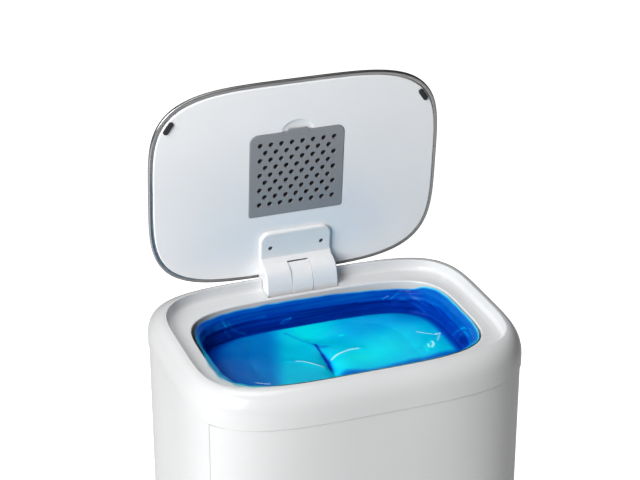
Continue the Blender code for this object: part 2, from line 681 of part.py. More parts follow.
def make_linkage():
    """Push rod, its slotted yoke on the crank pin, and the guides on the back wall."""
    eye_z = CRANK_R * math.sin(HALF_SWING)
    near = CRANK_R * math.cos(HALF_SWING)
    slot_r = CRANK_PIN_R + YOKE_PLAY
    outer_r = slot_r + YOKE_WALL
    front, back = -CRANK_R - YOKE_PLAY / 6, -near + YOKE_PLAY / 6
    end = ROD_BACK - ROD_T / 2 - GAP
    outline = arc((front, eye_z), outer_r, math.pi / 2, 1.5 * math.pi, 8)
    outline += [(end, eye_z - outer_r), (end, eye_z + outer_r)]
    yoke = add("lift_yoke", prism(outline, -YOKE_T / 2, YOKE_T / 2), GREY, BIN, (0, HINGE_Y, HINGE_H))
    hole = arc((front, eye_z), slot_r, math.pi / 2, 1.5 * math.pi, 8)
    hole += arc((back, eye_z), slot_r, -math.pi / 2, math.pi / 2, 8)
    shape(yoke, prism(hole, -YOKE_T, YOKE_T))
    tip = PEDAL_AXLE_H + PEDAL_BACK * math.tan(PEDAL_TILT) + PEDAL_TIP_R + GAP
    top = HINGE_H + eye_z + CRANK_PIN_R / 2
    half = ROD_W / 2
    strip = block((-half, ROD_Y - ROD_T / 2, tip), (half, ROD_Y + ROD_T / 2, top))
    add("push_rod", strip, STEEL, BIN)
    back_wall = BODY_D / 2 - WALL - GAP
    room = ROD_T / 2 + GUIDE_SLACK
    for name, share in guide_height_shares.items():
        low, high = CREST_H * share - GUIDE_H / 2, CREST_H * share + GUIDE_H / 2
        bracket = block((-GUIDE_W / 2, ROD_Y - room - WALL, low), (GUIDE_W / 2, back_wall, high))
        guide = add("rod_guide_" + name, bracket, GREY, BIN)
        shape(guide, block((-half - GUIDE_SLACK, ROD_Y - room, low - OVERRUN),
                           (half + GUIDE_SLACK, ROD_Y + room, high + OVERRUN)))


def make_cassette():
    """Ring that holds the film, standing on the jaw frame inside the throat."""
    foot = CASSETTE_TOP - CASSETTE_H
    thick = 2 * CASSETTE_T
    inner_w, inner_d = CASSETTE_W - thick, CASSETTE_D - thick
    rings = [
        oval(CASSETTE_W, CASSETTE_D, MOUTH_POWER, foot, MOUTH_Y),
        oval(CASSETTE_W, CASSETTE_D, MOUTH_POWER, CASSETTE_TOP, MOUTH_Y),
        oval(inner_w, inner_d, MOUTH_POWER, CASSETTE_TOP, MOUTH_Y),
        oval(inner_w, inner_d, MOUTH_POWER, foot, MOUTH_Y),
    ]
    add("film_cassette", loft(rings, closed=True), GREY, BIN)


# The film from its roll down to the pinch: how far in from the cassette, and how far down
film_in_shares = (0.0, 0.0, 0.02, 0.05, 0.16, 0.38, 0.62, 0.84, 0.955)
film_down_shares = (0.0, 0.42, 0.86, 1.0, 0.90, 0.78, 0.80, 0.90, 1.00)


def film_ring(inward, down, offset, height=0.0):
    width = CASSETTE_W - 2 * CASSETTE_T - 2 * GAP
    depth = CASSETTE_D - 2 * CASSETTE_T - 2 * GAP
    w = width + (PINCH_T - width) * inward - 2 * offset
    d = depth + (PINCH_D - depth) * inward - 2 * offset
    power = MOUTH_POWER + (CUP_POWER - MOUTH_POWER) * inward
    level = CASSETTE_TOP + height - down * (CASSETTE_TOP - FRAME_TOP + FRAME_T / 2)
    return oval(w, d, power, level, MOUTH_Y)


def make_film():
    """Blue film: a roll on the cassette, a loose cup, and the line where the jaws pinch it."""
    roll = CASSETTE_TOP + GAP
    depth = 2 * CASSETTE_T
    upper = [film_ring(a, b, FILM_T * (1 - a)) for a, b in zip(film_in_shares, film_down_shares)][1:]
    lower = [film_ring(a, b, 0, -FILM_T) for a, b in zip(film_in_shares, film_down_shares)][1:]
    top = [
        oval(CASSETTE_W - depth / 2, CASSETTE_D - depth / 2, MOUTH_POWER, roll, MOUTH_Y),
        oval(CASSETTE_W - depth / 2, CASSETTE_D - depth / 2, MOUTH_POWER, roll + FILM_ROLL_H, MOUTH_Y),
    ]
    inner_top = film_ring(0, 0, FILM_T, FILM_ROLL_H)
    outer_top = film_ring(0, 0, 0, GAP)
    neck = [oval(PINCH_T, PINCH_D, PINCH_POWER, level, MOUTH_Y) for level in (BAG_TOP + GAP, FRAME_FOOT)]
    rings = neck + lower[::-1] + [outer_top] + top + [inner_top] + upper
    add("film_liner", loft(rings), BLUE, BIN)


# The bag hanging under the jaws: height down its length, then its width and depth
bag_drop_shares = (0.0, 0.07, 0.15, 0.24, 0.33, 0.50, 0.74, 0.90, 0.97, 1.0)
bag_width_shares = (0.014, 0.034, 0.11, 0.27, 0.56, 0.86, 1.0, 0.90, 0.62, 0.24)
bag_depth_shares = (0.74, 0.76, 0.80, 0.86, 0.93, 1.0, 1.0, 0.90, 0.66, 0.28)


def make_bag():
    rings = []
    for drop, width, depth in zip(bag_drop_shares, bag_width_shares, bag_depth_shares):
        rings.append(oval(BAG_W * width, BAG_D * depth, PINCH_POWER, BAG_TOP - BAG_L * drop, MOUTH_Y))
    add("film_bag", loft(rings), BLUE, BIN)


def make_jaw_frame():
    """Ring under the collar with four posts, and ears for the jaws' pins."""
    rings = [
        oval(FRAME_W, FRAME_D, FRAME_POWER, FRAME_FOOT),
        oval(FRAME_W, FRAME_D, FRAME_POWER, FRAME_TOP),
        oval(FRAME_MOUTH_W, FRAME_MOUTH_D, MOUTH_POWER, FRAME_TOP, MOUTH_Y),
        oval(FRAME_MOUTH_W, FRAME_MOUTH_D, MOUTH_POWER, FRAME_FOOT, MOUTH_Y),
    ]
    frame = add("jaw_frame", loft(rings, closed=True), WHITE, BIN)
    post_top = LEDGE_H - WALL - GAP
    ear_top = FRAME_FOOT + FRAME_T / 6
    head_top = FRAME_FOOT - GAP
    bore = SCREW_SHANK_R + SCREW_SHANK_R / 2
    for side_name, side in SIDES.items():
        for end_name, end in ENDS.items():
            x, y = side * POST_X, end * POST_Y
            shape(frame, rod((x, y, FRAME_TOP - FRAME_T / 2), (x, y, post_top), POST_R, 16), "UNION")
            shape(frame, rod((x, y, FRAME_FOOT - OVERRUN), (x, y, FRAME_TOP + CASSETTE_H / 2),
                             bore + GAP, 12))
            head = rod((x, y, head_top - 2 * SCREW_HEAD_H), (x, y, head_top), 2 * SCREW_HEAD_R, 16)
            screw = add("frame_screw_" + end_name + "_" + side_name, head, STEEL, BIN)
            shank = rod((x, y, head_top - SCREW_HEAD_H), (x, y, FRAME_TOP + CASSETTE_H / 3), bore, 12)
            shape(screw, shank, "UNION")
            ear_y = end * (JAW_D / 2 + JAW_END) + MOUTH_Y
            low_y, high_y = sorted((ear_y, ear_y + end * JAW_EAR_T))
            low_x, high_x = sorted((side * (JAW_REACH - JAW_EAR_IN), side * (JAW_REACH + JAW_EAR_OUT)))
            shape(frame, block((low_x, low_y, JAW_H - JAW_BARREL_R), (high_x, high_y, ear_top)), "UNION")
        shape(frame, rod((side * JAW_REACH, -JAW_D, JAW_H), (side * JAW_REACH, JAW_D, JAW_H),
                         JAW_PIN_R + PIN_CLEAR, 16))
    plate_y = -FRAME_D / 2 - GAP
    plate = block((-CATCH_W / 2, plate_y - CATCH_PLATE_T, FRAME_FOOT), (CATCH_W / 2, plate_y, FRAME_TOP))
    add("catch_plate", plate, STEEL, BIN)


def make_jaws():
    """Two sprung flaps that meet along the middle and pinch the film."""
    for name, side in SIDES.items():
        axis = (side * JAW_REACH, MOUTH_Y, JAW_H)
        hinge = empty("jaw_axis_" + name, axis, BIN)
        inner = side * (JAW_MEET / 2 - JAW_REACH)
        half = JAW_D / 2
        low, high = sorted((inner, 0))
        plate = block((low, -half, -JAW_T / 2), (high, half, JAW_T / 2))
        plate = ease(plate, JAW_BARREL_R * 2, lambda edge: all(abs(v.co.x - inner) < GAP for v in edge.verts)
                     and abs(edge.verts[0].co.z - edge.verts[1].co.z) > GAP, 3)
        jaw = add("jaw_" + name, plate, GREY, hinge)
        shape(jaw, rod((0, -half, 0), (0, half, 0), JAW_BARREL_R, 20), "UNION")
        for rib in range(ribs_per_jaw):
            y = (rib - (ribs_per_jaw - 1) / 2) * JAW_D / (ribs_per_jaw + 1)
            low_x, high_x = sorted((inner * rib_reach_share, 0))
            rib = block((low_x, y - RIB_T / 2, -JAW_T / 2 - RIB_H), (high_x, y + RIB_T / 2, 0))
            shape(jaw, rib, "UNION")
        room = JAW_BARREL_R + 2 * SPRING_WIRE_R
        shape(jaw, block((-room, half - SPRING_ROOM, -room * 2), (room, half + OVERRUN, room * 2)))
        shape(jaw, rod((0, -half - OVERRUN, 0), (0, half + OVERRUN, 0), JAW_PIN_R + PIN_CLEAR, 16))
        reach = half + JAW_END + JAW_EAR_T
        add("jaw_pin_" + name, rod((0, -reach, 0), (0, reach, 0), JAW_PIN_R, 16), STEEL, BIN, axis)
        make_spring(name, side, axis, half)


def make_spring(name, side, axis, half):
    """Torsion spring round the end of a jaw's pin, one unbroken wire."""
    start = half - SPRING_ROOM + 3 * SPRING_WIRE_R
    end = half - 3 * SPRING_WIRE_R
    points = [(side * SPRING_R, start, -SPRING_R - SPRING_WIRE_R)]
    total = SPRING_TURNS * SPRING_STEPS
    for step in range(total + 1):
        turn = math.tau * step / SPRING_STEPS
        points.append((side * SPRING_R * math.cos(turn), start + (end - start) * step / total,
                       SPRING_R * math.sin(turn)))
    points.append((side * SPRING_R, end, FRAME_FOOT - axis[2] - 2 * SPRING_WIRE_R))
    curve = bpy.data.curves.new("wire", "CURVE")
    curve.dimensions = "3D"
    spline = curve.splines.new("POLY")
    spline.points.add(len(points) - 1)
    for place, point in zip(spline.points, points):
        place.co = (*point, 1)
    curve.bevel_depth = SPRING_WIRE_R
    curve.bevel_resolution = 1
    curve.use_fill_caps = True
    wire = bpy.data.objects.new("wire", curve)
    PARTS.objects.link(wire)
    bpy.context.view_layer.update()
    data = bpy.data.meshes.new_from_object(wire.evaluated_get(bpy.context.evaluated_depsgraph_get()))
    bpy.data.objects.remove(wire)
    mesh = bmesh.new()
    mesh.from_mesh(data)
    bpy.data.meshes.remove(data)
    bmesh.ops.remove_doubles(mesh, verts=mesh.verts, dist=SPRING_WIRE_R / 50)
    add("jaw_spring_" + name, mesh, STEEL, BIN, axis)


def shell(foot, top, easing=((0, 0),)):
    """The housing's wall between two heights; easing steps its lower edge in and up."""
    inner_w, inner_d = BODY_W - 2 * WALL, BODY_D - 2 * WALL
    rings = [body_oval(BODY_W - 2 * inset, BODY_D - 2 * inset, foot + rise) for inset, rise in easing]
    rings += [
        body_oval(BODY_W, BODY_D, top),
        body_oval(inner_w, inner_d, top),
        body_oval(inner_w, inner_d, foot),
    ]
    return loft(rings, closed=True)


def make_housing():
    """Back and sides; the whole front is the door's opening."""
    foot, top = BASE_H + GAP, COLLAR_FOOT - GAP
    housing = add("housing", shell(foot, top), WHITE, BIN)
    half = DOOR_W / 2 + SEAM
    shape(housing, block((-half, -BODY_D, foot - OVERRUN), (half, -BODY_D / 4, top + OVERRUN)))
    return housing


def make_door():
    """Front door with stiffening ribs, hinge lugs and a snap catch at its top."""
    hinge = empty("door_axis", (0, DOOR_AXIS_Y, DOOR_AXIS_H), BIN)
    height = DOOR_TOP - DOOR_FOOT
    low = -DOOR_AXIS_UP
    easing = [(DOOR_EASE - y, z + DOOR_EASE) for y, z in arc((0, 0), DOOR_EASE, -math.pi / 2, 0, 2)]
    mesh = shell(low, low + height, easing)
    bmesh.ops.translate(mesh, vec=(0, -DOOR_AXIS_Y, 0), verts=mesh.verts)
    door = add("front_door", mesh, WHITE, hinge)
    half = DOOR_W / 2
    back = BODY_D / 4 - WALL
    sweep = low + height + SEAM / 4
    window = [(back, low - OVERRUN), (-BODY_D, low - OVERRUN), (-BODY_D, sweep)]
    for step in range(CROWN_STEPS + 1):
        y = back * step / CROWN_STEPS
        window.append((y, math.sqrt(sweep * sweep - y * y)))
    shape(door, prism(window, -half, half), "INTERSECT")
    wall_y = -DOOR_AXIS_IN + WALL
    margin = DOOR_RIB_MARGIN
    rib_x = LUG_X * rib_span_share
    for side in SIDES.values():
        x = side * rib_x
        rib_top = height - margin - DOOR_AXIS_UP
        shape(door, block((x - DOOR_RIB_T / 2, wall_y - WALL / 2, margin),
                          (x + DOOR_RIB_T / 2, wall_y + DOOR_RIB_H, rib_top)), "UNION")
        left, right = side * LUG_X - LUG_W / 2, side * LUG_X + LUG_W / 2
        lug = arc((0, 0), LUG_R, -math.pi / 2, math.pi / 2, 8)
        lug += [(wall_y - WALL / 2, LUG_R), (wall_y - WALL / 2, -LUG_R)]
        shape(door, prism(lug, left, right), "UNION")
        shape(door, rod((left - OVERRUN, 0, 0), (right + OVERRUN, 0, 0), DOOR_PIN_R + PIN_CLEAR, 16))
    for share in door_rib_shares:
        z = margin + (height - 2 * margin) * share
        shape(door, block((-rib_x, wall_y - WALL / 2, z - DOOR_RIB_T / 2),
                          (rib_x, wall_y + DOOR_RIB_H, z + DOOR_RIB_T / 2)), "UNION")
    middle = (FRAME_FOOT + FRAME_TOP) / 2 - DOOR_AXIS_H
    reach = -FRAME_D / 2 - 2 * GAP - CATCH_PLATE_T - DOOR_AXIS_Y
    add("door_catch", block((-CATCH_W / 2, wall_y + GAP, middle - CATCH_H / 2),
                            (CATCH_W / 2, reach, middle + CATCH_H / 2)), GREY, hinge)
    reach = LUG_W / 2 + LUG_SPACE + EAR_W - GAP
    for name, side in SIDES.items():
        pin = rod((side * LUG_X - reach, 0, 0), (side * LUG_X + reach, 0, 0), DOOR_PIN_R, 16)
        add("door_pin_" + name, pin, STEEL, BIN, (0, DOOR_AXIS_Y, DOOR_AXIS_H))


def make_base():
    """Lower shell with the pedal's slot, axle ears, deck posts and the door's hinge ears."""
    inner_w, inner_d = BODY_W - 2 * BASE_WALL, BODY_D - 2 * BASE_WALL
    toe = 2 * BASE_TOE
    floor = BASE_CLEAR + BASE_WALL
    rings = [
        body_oval(BODY_W - toe, BODY_D - toe, BASE_CLEAR),
        body_oval(BODY_W, BODY_D, BASE_CLEAR + BASE_TOE),
        body_oval(BODY_W, BODY_D, BASE_H),
        body_oval(inner_w, inner_d, BASE_H),
        body_oval(inner_w, inner_d, floor + BASE_TOE),
        body_oval(inner_w - toe, inner_d - toe, floor),
    ]
    base = add("base", loft(rings), WHITE, BIN)
    slot = PEDAL_SLOT_W / 2
    shape(base, block((-slot, -BODY_D, BASE_CLEAR - OVERRUN), (slot, -BODY_D / 2 + OVERRUN, PEDAL_SLOT_TOP)))
    ear_in = ARM_W / 2 + AXLE_GAP
    leg_low = DECK_H + DECK_T + GAP
    for side in SIDES.values():
        low_x, high_x = sorted((side * ear_in, side * (ear_in + AXLE_EAR_T)))
        ear_foot = floor - BASE_WALL / 2
        ear = [(PEDAL_AXLE_Y + 2 * PEDAL_HUB_R, ear_foot), (PEDAL_AXLE_Y - 2 * PEDAL_HUB_R, ear_foot)]
        ear += arc((PEDAL_AXLE_Y, PEDAL_AXLE_H), PEDAL_HUB_R, math.pi, 0, 8)
        shape(base, prism(ear, low_x, high_x), "UNION")
        for inner in (side * LUG_X - LUG_W / 2 - LUG_SPACE - EAR_W, side * LUG_X + LUG_W / 2 + LUG_SPACE):
            leg = arc((DOOR_AXIS_Y, DOOR_AXIS_H), LUG_R, math.radians(200), 0, 8)
            leg += [(DOOR_AXIS_Y + LUG_R + EAR_LEG / 2, DOOR_AXIS_H - LUG_R),
                    (DOOR_AXIS_Y + LUG_R + EAR_LEG / 2, leg_low),
                    (-BODY_D / 2 + BASE_WALL / 2, leg_low),
                    (-BODY_D / 2 + BASE_WALL / 2, BASE_H - DOOR_AXIS_IN),
                    (DOOR_AXIS_Y + LUG_R / 2, BASE_H - DOOR_AXIS_IN / 2),
                    (DOOR_AXIS_Y + LUG_R / 2, DOOR_AXIS_H - LUG_R)]
            shape(base, prism(leg, inner, inner + EAR_W), "UNION")
    bore = LUG_X * 2
    shape(base, rod((-bore, DOOR_AXIS_Y, DOOR_AXIS_H), (bore, DOOR_AXIS_Y, DOOR_AXIS_H),
                    DOOR_PIN_R + PIN_CLEAR / 2, 16))
    shape(base, rod((-ARM_W, PEDAL_AXLE_Y, PEDAL_AXLE_H), (ARM_W, PEDAL_AXLE_Y, PEDAL_AXLE_H),
                    AXLE_R + PIN_CLEAR / 2, 20))
    x, y = BODY_W / 2 * foot_place_shares[0], BODY_D / 2 * foot_place_shares[1]
    for side_name, side in SIDES.items():
        for end_name, end in ENDS.items():
            place = (side * x, end * y)
            post = rod((*place, floor - BASE_WALL / 2), (*place, DECK_H - GAP), DECK_POST_R, 16)
            shape(base, post, "UNION")
            foot = rod((*place, 0), (*place, BASE_CLEAR - GAP), FOOT_R, 20)
            add("rubber_foot_" + end_name + "_" + side_name, foot, RUBBER, BIN)
    deck_w, deck_d = inner_w - 4 * GAP, inner_d - 4 * GAP
    deck = add("inner_floor", loft([body_oval(deck_w, deck_d, DECK_H),
                                    body_oval(deck_w, deck_d, DECK_H + DECK_T)]), WHITE, BIN)
    way = ROD_W / 2 + 2 * GUIDE_SLACK
    shape(deck, block((-way, ROD_Y - 3 * ROD_T, DECK_H - OVERRUN),
                      (way, BODY_D, DECK_H + DECK_T + OVERRUN)))


def make_pedal():
    """Pedal pad, its arm and hub in one piece, tilted down as it is with the lid open."""
    hinge = empty("pedal_axis", (0, PEDAL_AXLE_Y, PEDAL_AXLE_H), BIN, PEDAL_TILT)
    lead = (PEDAL_T / 2 - PEDAL_EASE) * math.sin(PEDAL_TILT)
    front = (lead - PEDAL_REACH - PEDAL_AXLE_Y) / math.cos(PEDAL_TILT)
    outline = rounded(PEDAL_W, PEDAL_D, (PEDAL_CORNER, PEDAL_CORNER, PEDAL_EASE, PEDAL_EASE),
                      (0, front + PEDAL_D / 2))
    pad = slab(outline, -PEDAL_T / 2, PEDAL_T / 2)
    pad = ease(pad, PEDAL_EASE, at_height(PEDAL_T / 2))
    pedal = add("pedal", pad, GREY, hinge)
    half = ARM_W / 2
    back = PEDAL_BACK / math.cos(PEDAL_TILT)
    shape(pedal, block((-half, front + PEDAL_D / 2, -ARM_T / 2), (half, back, ARM_T / 2)), "UNION")
    shape(pedal, rod((-half + GAP, 0, 0), (half - GAP, 0, 0), PEDAL_HUB_R, 20), "UNION")
    shape(pedal, rod((-half + GAP, back, 0), (half - GAP, back, 0), PEDAL_TIP_R, 16), "UNION")
    shape(pedal, rod((-ARM_W, 0, 0), (ARM_W, 0, 0), AXLE_R + PIN_CLEAR, 20))
    top = PEDAL_T / 2 + GAP
    middle = front + PEDAL_D / 2
    sheet = rounded(PAD_W, PAD_L, (PEDAL_EASE,) * 4, (0, middle))
    pad = add("pedal_pad", slab(sheet, top, top + PAD_T), RUBBER, hinge)
    for index in range(tread_count):
        y = middle + PAD_L * ((index + 0.5) / tread_count - 0.5)
        shape(pad, block((-PAD_W / 2 + TREAD_W, y - TREAD_W / 2, top + PAD_T / 2),
                         (PAD_W / 2 - TREAD_W, y + TREAD_W / 2, top + 2 * PAD_T)), "UNION")
    reach = ARM_W / 2 + AXLE_GAP + AXLE_EAR_T
    add("pedal_axle", rod((-reach, 0, 0), (reach, 0, 0), AXLE_R, 20), STEEL, BIN,
        (0, PEDAL_AXLE_Y, PEDAL_AXLE_H))


clear_scene()
PARTS = collection("nappy_bin")
CUTTERS = collection("cutters")
WHITE = material("white_plastic", (0.86, 0.87, 0.88), 0.28)
GREY = material("grey_plastic", (0.27, 0.28, 0.30), 0.45)
STEEL = material("brushed_steel", (0.46, 0.46, 0.47), 0.32, 1.0)
CARBON = material("carbon_filter", (0.03, 0.03, 0.035), 0.9)
RUBBER = material("black_rubber", (0.02, 0.02, 0.022), 0.7)
BLUE = material("blue_film", (0.0, 0.26, 0.75), 0.25)
BIN = empty("bin_centre", (0, (PEDAL_REACH - rear_reach()) / 2, 0))
LID = empty("lid_axis", (0, HINGE_Y, HINGE_H), BIN, -LID_OPEN)

make_collar()
make_lid()
make_filter()
make_bumpers()
make_bracket()
make_hinge_parts()
make_linkage()
make_cassette()
make_film()
make_bag()
make_jaw_frame()
make_jaws()
make_housing()
make_door()
make_base()
make_pedal()
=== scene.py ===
"""Looks of a pedal nappy bin: glossy white mouldings, a brushed steel lid and blue film."""
import math

import bmesh
import bpy
from mathutils import Matrix, Vector, noise


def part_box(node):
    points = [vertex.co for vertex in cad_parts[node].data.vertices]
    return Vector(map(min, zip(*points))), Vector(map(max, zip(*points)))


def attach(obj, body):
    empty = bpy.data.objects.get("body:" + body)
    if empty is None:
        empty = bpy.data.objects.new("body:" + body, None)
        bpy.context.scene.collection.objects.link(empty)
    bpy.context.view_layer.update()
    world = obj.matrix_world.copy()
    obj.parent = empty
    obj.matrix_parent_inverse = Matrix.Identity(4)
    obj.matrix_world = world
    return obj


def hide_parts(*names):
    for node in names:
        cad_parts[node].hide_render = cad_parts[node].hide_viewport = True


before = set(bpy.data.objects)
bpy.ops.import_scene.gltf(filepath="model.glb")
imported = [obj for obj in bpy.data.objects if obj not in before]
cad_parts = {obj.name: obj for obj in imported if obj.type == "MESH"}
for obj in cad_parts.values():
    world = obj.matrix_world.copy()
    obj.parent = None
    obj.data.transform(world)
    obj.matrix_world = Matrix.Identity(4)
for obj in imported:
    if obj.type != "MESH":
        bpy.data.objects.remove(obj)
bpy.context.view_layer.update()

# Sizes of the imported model, in metres, that the finer pieces repeat
CREST = 0.580
BODY_Y = 0.01965
COLLAR_W = 0.3084
COLLAR_D = 0.2306
BODY_W = 0.3068
BODY_D = 0.2290
FRONT_POWER = 3.85
BACK_POWER = 5.0
WALL = 0.0026
GAP = 0.0003
OVERRUN = 0.004
COLLAR_H = 0.0316
SHOULDER_H = 0.0225
CREST_POWER = 4.4
RIM_W = 0.2806
RIM_D = 0.1944
RIM_POWER = 4.57
RIM_EASE = 0.0012
RIM_OUT = 0.0010
FOOT_EASE_W = 0.0008
FOOT_EASE_H = 0.0005
EDGE_EASE = 0.0003
WALL_EASE = 0.0004
RECESS_H = 0.0098
RECESS_FILLET = 0.0045
RECESS_DRAFT = 0.0007
MOUTH_W = 0.2450
MOUTH_D = 0.1552
MOUTH_POWER = 4.1
MOUTH_Y = -0.0022
MOUTH_LIP = 0.0012
THROAT_H = 0.0240
THROAT_DRAFT = 0.0008
LID_W = 0.2752
LID_D = 0.1984
LID_POWER = 4.03
HINGE_Y = 0.1013
HINGE_DROP = 0.0070
LID_OPEN = math.radians(84.6)
PANEL_H = 0.0075
PANEL_T = 0.0024
PANEL_EASE = 0.0010
LID_RISE = 0.0120
LID_EDGE_H = 0.0042
LID_SKIN = 0.0008
HEM_W = 0.0036
HEM_LIFT = 0.0013
HEM_ROLL = 0.0013
HEM_EASE = 0.0005
COVER_W = 0.0896
COVER_L = 0.0828
COVER_Y = 0.0079
COVER_T = 0.0018
COVER_RADII = (0.0080, 0.0080, 0.0024, 0.0024)
COVER_DEEP = 0.0004
COVER_ROUND = 0.0006
HOLE_D = 0.0050
HOLE_PITCH = 0.0100
HOLE_ROW = 0.0075
HOLE_ROWS = 9
GRID_Y = 0.0084
TAB_W = 0.0200
TAB_REACH = 0.0024
TAB_HALF_T = 0.0008
SCOOP = (0.0150, 0.0110, 0.0016)
TRAY_T = 0.0014
FILTER_T = 0.0042
BUMPER_L = 0.0130
BUMPER_W = 0.0050
BUMPER_H = 0.0016
BUMPER_CORNER = 0.00245
BUMPER_ROUND = 0.0007
BUMPER_IN = (0.0178, 0.0308)
BUMPER_TURN = math.radians(56)
BRACKET_W = 0.0690
BRACKET_T = 0.0040
BRACKET_REACH = 0.0508
BRACKET_BEND = 0.0250
BRACKET_CORNER = 0.0090
PLATE_ROUND = 0.0022
ARM_ROUND = 0.0014
ARM_COVER_T = 0.0024
ARM_R = 0.0213
ARM_RISE = 0.0027
BOSS_R = 0.0078
SLOT_W = 0.0206
SLOT_REACH = 0.0220
SCREW_X = 0.0247
SCREW_REACH = 0.0350
SCREW_HEAD_R = 0.0022
SCREW_HEAD_DEEP = 0.0024
SCREW_HOLE_R = 0.0014
POCKET_CLEAR = 0.0008
POCKET_BACK = 0.0103
POCKET_CHEEK = 0.0050
POCKET_SKIN = 0.0046
PIN_R = 0.0030
PIN_PLAY = 0.0001
CRANK_R = 0.0095
CRANK_PIN_R = 0.0020
ROD_BACK = 0.0051
ROD_SLOT_HALF = 0.0062
ROD_SLOT_T = 0.0016
DOOR_HALF = 0.1420
DOOR_FOOT = 0.0938
DOOR_EASE = 0.0021
DOOR_AXIS_Y = -0.1066
DOOR_AXIS_UP = 0.0080
SEAM = 0.0006
LUG_SHARE = 0.326
LUG_W = 0.0076
LUG_R = 0.0040
LUG_SPACE = 0.0003
LUG_BORE_R = 0.0021
RIB_T = 0.0022
RIB_H = 0.0060
RIB_MARGIN = 0.0160
BASE_H = 0.0920
BASE_CLEAR = 0.0063
BASE_WALL = 0.0028
BASE_TOE = 0.0040
BASE_EASE = 0.0004
DOOR_AXIS_IN = 0.0079
EAR_W = 0.0050
EAR_LEG = 0.0060
EAR_FOOT = 0.0609
EAR_BORE_R = 0.00205
AXLE_Y = 0.0120
AXLE_H = 0.0300
HUB_R = 0.0065
AXLE_EAR_IN = 0.0136
AXLE_EAR_T = 0.0045
AXLE_BORE_R = 0.00305
AXLE_BORE_REACH = 0.0300
PEDAL_SLOT_W = 0.0320
PEDAL_SLOT_TOP = 0.0460
POST_SHARES = (0.74, 0.72)
POST_R = 0.0050
POST_TOP = 0.0577
arm_angles = (-0.40, -0.16, 0.08, 0.32, 0.52, 0.70, 0.84, 0.95, 1.08, 1.22, 1.40)
arm_radius_shares = (1.0, 1.0, 1.003, 1.015, 1.035, 1.06, 1.078, 1.083, 1.07, 1.055, 1.05)
dome_insets = (0.0, 0.012, 0.05, 0.16, 0.34, 0.44)
dome_rises = (0.0, 0.34, 0.62, 0.84, 0.96, 1.0)

HINGE = Vector((0, HINGE_Y + BODY_Y, CREST - HINGE_DROP))
IN_BIN = Matrix.Translation((0, BODY_Y, 0))
ON_LID = Matrix.Translation(HINGE) @ Matrix.Rotation(-LID_OPEN, 4, "X")
SEGMENTS = 192

# Camera, from the photograph
CAMERA_PLACE = (-0.52407, -1.34748, 1.34451)
CAMERA_TURN = (math.radians(64.86), 0, math.radians(-20.45))
CAMERA_LENS = 105.63
SENSOR = 36

# Light of the floor near the bin and far behind it
FLOOR_NEAR = 0.0
FLOOR_FAR = 0.95
FLOOR_BOUNCE = 0.10

# Film, from its edge to the pinch
FILM_W = 0.2336
FILM_D = 0.1438
FILM_POWER = 4.1
FILM_Y = -0.0022
FILM_TOP = -0.0150
FILM_TOP_FRONT = -0.0096
PILLOW_TOP = -0.0370
CREASE_D = 0.0940
FLARE = 0.0056
WALL_SHARE = 0.30
FILM_STEPS = 480
BAG_STEPS = 240
WALL_ROWS = 34
PILLOW_ROWS = 120
MARK_REACH = 45
# Hanging bag: share of its height from the top, of its width and of its depth
BAG_SHARES = (
    (0.0, 0.014, 0.74), (0.07, 0.034, 0.76), (0.15, 0.11, 0.80), (0.24, 0.27, 0.86), (0.33, 0.56, 0.93),
    (0.50, 0.86, 1.0), (0.74, 1.0, 1.0), (0.90, 0.90, 0.90), (0.97, 0.62, 0.66), (1.0, 0.24, 0.28))
# Folds of the pinched film, in millimetres: width, lift, line
RIDGES = (
    (4.0, 0.0009, ((-36, 18), (-26, 14), (-20, 10), (-15, 6), (-9, 2))),
    (4.0, 0.0010, ((1.5, 14), (6, 17), (13, 19), (22, 21), (32, 20))),
    (5.0, 0.0006, ((-26, 58), (-17, 53), (-10, 47), (-5, 41))),
    (6.0, -0.0010, ((84, -6), (92, 4), (101, 9))),
)
